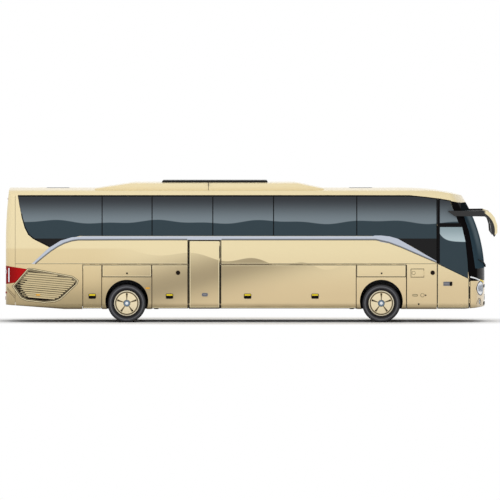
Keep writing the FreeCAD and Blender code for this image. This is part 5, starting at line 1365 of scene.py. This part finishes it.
# %% [markdown]
# ## Tail
# Behind are the engine lid with its louvres, lamps with a white reversing bar that also stands in as a
# painted highlight down the lamp, reflectors, a blank plate and a rear marker on each upper corner.

# %% Tail lamps
def tail(name, points, gap, thick, **more):
    """A piece laid on the tail, from (across, up) points."""
    return facing("-X", name, points, gap, thick, **more)


ring = tail("tail_ring_right", ring_points(-1.135, 1.385, 0.040, 0.055), 0.005, 0.006, ring=0.010)
pair(ring, "clear_lens", white_cap)
for name, points in (("reflector", rounded(-1.12, 0.813, 0.10, 0.052, 0.012)),
                     ("rear_fog", ring_points(-1.00, 0.66, 0.050, 0.050)),
                     ("high_marker", rounded(-0.98, 3.37, 0.10, 0.040, 0.012))):
    pair(tail(name + "_right", points, 0.001, 0.010, bevel=0.003), "red_lens", red_lens)
# the white reversing bar also stands in for a painted highlight that runs down the lamp
bar_path = [(-6.655, -1.26, 1.10), (-6.618, -1.275, 1.10)]
white_bar_and_highlight = cling(ribbon("reversing_bar_right", bar_path, 0.385), 0.003)
pair(soften(thicken(white_bar_and_highlight, 0.008), 0.002), "clear_lens", white_cap)
for number, shift in enumerate((0.0, 0.055)):
    path = [(x, y, z - shift) for x, y, z in ((-6.69, -1.20, 0.965), (-6.56, -1.27, 0.83),
                                              (-6.44, -1.29, 0.705))]
    slant = cling(divide(ribbon(f"corner_line_{number}_right", path, 0.012), 2), 0.0015)
    pair(thicken(slant, 0.003), "black_gloss", seam_shade)

# %% Engine lid and high brake lamp
louvres = [tail(f"louvre_{k}", rounded(0, 0.78 + 0.05 * k, 1.30, 0.022, 0.008), 0.001, 0.012, bevel=0.003)
           for k in range(5)]
finish(join(louvres, "lid_louvres"), "engine_lid", "grille_paint", grille_paint)
finish(tail("lid_edge", rectangle(-0.888, 0.888, 0.652, 1.488), 0.001, 0.002, ring=0.010), "engine_lid",
       "black_gloss", seam_shade)
finish(tail("rear_plate", rounded(0, 1.18, 0.52, 0.115, 0.01), 0.002, 0.006, bevel=0.0015), "engine_lid",
       "bright_strip", plate_white)
in_rubber(tail("rear_plate_holder", rounded(0, 1.18, 0.55, 0.145, 0.012), 0.001, 0.004, ring=0.016),
          "engine_lid")
in_rubber(tail("lid_handle", rounded(0, 0.705, 0.24, 0.040, 0.014), 0.001, 0.010, bevel=0.003),
          "engine_lid")
finish(tail("high_brake_lamp", rounded(0, 3.37, 0.42, 0.034, 0.012), 0.001, 0.012, bevel=0.003), BODY,
       "red_lens", red_lens)

# %% [markdown]
# ## Roof
# Two emergency hatches, a grid over the fans and a seam across the roof unit finish the top. Seen from the
# ground these are only low edges, so each is a block whose top is inset, which is enough to catch light.

# %% Hatches and the roof unit
def top_of(obj):
    """Picks the upper face of a block."""
    pick(obj, lambda centre, normal: normal.z > 0.9)


for name, x in (("front_hatch", 3.0), ("rear_hatch", -5.3)):
    hatch = block(name, (x, 0, 3.636), (0.74, 0.66, 0.030))
    top_of(hatch)
    bpy.ops.mesh.inset(thickness=0.05, depth=0)
    bpy.ops.mesh.inset(thickness=0.012, depth=0.007)
    done()
    finish(soften(hatch, 0.006, 3), BODY, "black_gloss", unit_black)
grid = block("condenser_grid", (-0.998, 0, 3.848), (2.70, 1.16, 0.026))
top_of(grid)
bpy.ops.mesh.subdivide(number_cuts=7)
bpy.ops.mesh.inset(thickness=0.02, depth=-0.008, use_individual=True)
done()
finish(grid, BODY, "black_gloss", unit_black)
seam = block("roof_unit_seam", (-1.169, 0, 3.7), (0.014, 1.926, 0.223))
finish(soften(seam, 0.003), BODY, "black_gloss", seam_shade)

# %% [markdown]
# ## Seats
# Coach seats come in pairs with padded cushions, tall backs and headrests. A cloth simulation would crown
# them too, but forty-eight of them behind dark glass don't earn that time. So a cushion is a cube whose
# middle faces are drawn out a little and which is then smoothed by subdivision, and one pair is copied.

# %% One padded pair
MIDDLE_FACE = 0.2  # of the size: of three faces in a row, only the middle one lies within it


def pad(name, place, size, crown, turn=0.0):
    """A crowned cushion: long and wide as told, its face drawn out in the middle."""
    piece = block(name, (0, 0, 0), size)
    divide(piece, 2)
    for sign in (1, -1):
        pick(piece, lambda centre, normal: normal.z * sign > 0.9 and abs(centre.x) < size[0] * MIDDLE_FACE
             and abs(centre.y) < size[1] * MIDDLE_FACE)
        bpy.ops.transform.translate(value=(0, 0, sign * crown))
        done()
    soften(piece, min(size) * 0.25, 2)
    modifier(piece, "SUBSURF", levels=1, render_levels=1)
    whole(piece)
    bpy.ops.transform.rotate(value=turn, orient_axis="Y", center_override=(0, 0, 0))
    bpy.ops.transform.translate(value=place)
    done()
    return piece


def seat_pads(x, y, floor, width):
    """Cushion, back and headrest of one seat."""
    lean = math.radians(-79)
    return [pad("cushion", (x, y, floor + 0.385), (0.44, width, 0.12), 0.014),
            pad("back", (x - 0.277, y, floor + 0.74), (0.62, width - 0.01, 0.110), 0.012, lean),
            pad("headrest", (x - 0.350, y, floor + 1.030), (0.17, width * 0.62, 0.100), 0.008, lean)]


pair_pads = join([part for y in (-0.2175, 0.2175) for part in seat_pads(0.0, y, 0.0, 0.430)],
                 "pair_pads")
# place and size of each bar under and beside a pair
BARS = [((-0.04, 0, 0.320), (0.46, 0.86, 0.022)), ((-0.02, 0.25, 0.16), (0.30, 0.05, 0.315)),
        ((-0.02, -0.25, 0.16), (0.30, 0.05, 0.315)), ((-0.02, 0, 0.012), (0.30, 0.56, 0.020)),
        ((-0.06, 0.428, 0.56), (0.34, 0.022, 0.040)), ((-0.06, -0.428, 0.56), (0.34, 0.022, 0.040))]
pair_frame = join([soften(block("bar", place, size), 0.006) for place, size in BARS], "pair_frame")
low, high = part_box("passenger_seats")
print("seat box", [round(v, 3) for v in (*low, *high)])

# %% Copies to every row
DECK, FIRST_ROW, ROW_PITCH = 1.440, -5.850, 0.800
STEP_WELL_ROWS = (5, 6)  # no seats there on the right, over the middle door's steps
pads, frames = [], []
for row in range(13):
    for side in (-1, 1):
        if side > 0 or row not in STEP_WELL_ROWS:
            place = (FIRST_ROW + ROW_PITCH * row, side * 0.735, DECK)
            pads.append(twin(pair_pads, f"pads_{row}_{side}", place))
            frames.append(twin(pair_frame, f"frame_{row}_{side}", place))
print("double seats", len(pads))
finish(join(frames, "passenger_seat_frames"), BODY, "frame_steel", dash_plastic)
saloon_pads = finish(join(pads, "passenger_seat_pads"), BODY, "seat_fabric", seat_cloth, smooth=60,
                     replaces=("passenger_seats",))
discard(pair_pads)
discard(pair_frame)

# %% The driver's seat
DRIVER_X, DRIVER_Y = 5.11, 0.610
driver_pads = finish(join(seat_pads(DRIVER_X + 0.024, DRIVER_Y, 1.0, 0.47), "driver_seat_pads"), BODY,
                     "seat_fabric", seat_cloth, smooth=60, replaces=("driver_seat",))
pedestal = block("driver_seat_base", (DRIVER_X, DRIVER_Y, 1.155), (0.34, 0.32, 0.31))
top_of(pedestal)
bpy.ops.transform.resize(value=(1.2, 1.25, 1), center_override=(DRIVER_X, DRIVER_Y, 1.31))
done()
finish(soften(pedestal, 0.02, 3), BODY, "dash_plastic", dash_plastic)

# %% [markdown]
# ## Floor, light and camera
# The coach stands on a pale floor under soft light. The world lights it evenly, a broad lamp over each
# side gives the panels their roll, and only camera, mirror and glass rays see the world as plain white.

# %% Floor
discard(skin)
release()
bpy.ops.mesh.primitive_plane_add(size=90)
floor = land("studio_floor")


def studio_floor():
    """Pale, with a little painted shade round the coach, and shining white far from it."""
    material, tree, shader, where = new_material("studio_floor", Roughness=0.9, Specular_IOR_Level=0.0)
    x, y, z = split(tree, where)
    far = oval(tree, x, y, 8.6, 3.0)
    link(tree, blend_colour(tree, band(tree, far, 0.6, 1.0), rgb(244, 244, 243), rgb(252, 252, 252)),
         shader.inputs["Base Color"])
    glow = tree.nodes.new("ShaderNodeEmission")
    mixer = tree.nodes.new("ShaderNodeMixShader")
    link(tree, band(tree, far, 0.7, 1.25), mixer.inputs[0])
    link(tree, shader.outputs[0], mixer.inputs[1])
    link(tree, glow.outputs[0], mixer.inputs[2])
    link(tree, mixer.outputs[0], tree.nodes["Material Output"].inputs["Surface"])
    return material


floor.data.materials.append(studio_floor())

# %% World light
SHADE_LIGHT, SEEN_LIGHT = 0.64, 0.36
world = bpy.data.worlds.new("studio")
bpy.context.scene.world = world
world.use_nodes = True
studio = world.node_tree
sky = studio.nodes["Background"]
sky.inputs["Color"].default_value = (1.0, 1.0, 1.0, 1.0)
path = studio.nodes.new("ShaderNodeLightPath")
seen = calc(studio, "MAXIMUM", path.outputs["Is Camera Ray"], path.outputs["Is Glossy Ray"])
seen = calc(studio, "MAXIMUM", seen, path.outputs["Is Transmission Ray"])
link(studio, line(studio, seen, SEEN_LIGHT, SHADE_LIGHT), sky.inputs["Strength"])
print("world light", SHADE_LIGHT)

# %% Broad lamps over both sides
LAMP_POWER, LAMP_SIZE, AIM = 950, (16.0, 6.0), Vector((0, 0, 1.6))
for name, place in (("near_lamp", (-3.0, -13.0, 13.0)), ("far_lamp", (3.0, 13.0, 13.0))):
    bpy.ops.object.light_add(type="AREA", location=place)
    lamp = bpy.context.object
    lamp.name = name
    lamp.data.energy = LAMP_POWER
    lamp.visible_glossy = False
    lamp.data.shape = "RECTANGLE"
    lamp.data.size, lamp.data.size_y = LAMP_SIZE
    lamp.rotation_euler = (AIM - Vector(place)).to_track_quat("-Z", "Y").to_euler()
print("lamps", LAMP_POWER, "W each")

# %% Camera: far off on the right, square on, tipped down a little
TIP, AWAY, FIELD, FILM_WIDTH = math.radians(1.5), 250.0, 13.685, 36.0
bpy.ops.object.camera_add(location=(-0.033, -0.64 - AWAY * math.cos(TIP), 1.962 + AWAY * math.sin(TIP)),
                          rotation=(math.pi / 2 - TIP, 0, 0))
camera = bpy.context.object
camera.data.sensor_width = FILM_WIDTH
camera.data.lens = FILM_WIDTH * AWAY / FIELD
camera.data.clip_end = 600.0
bpy.context.scene.camera = camera
bpy.context.scene.view_settings.view_transform = "Standard"
print("camera lens", round(camera.data.lens, 1))
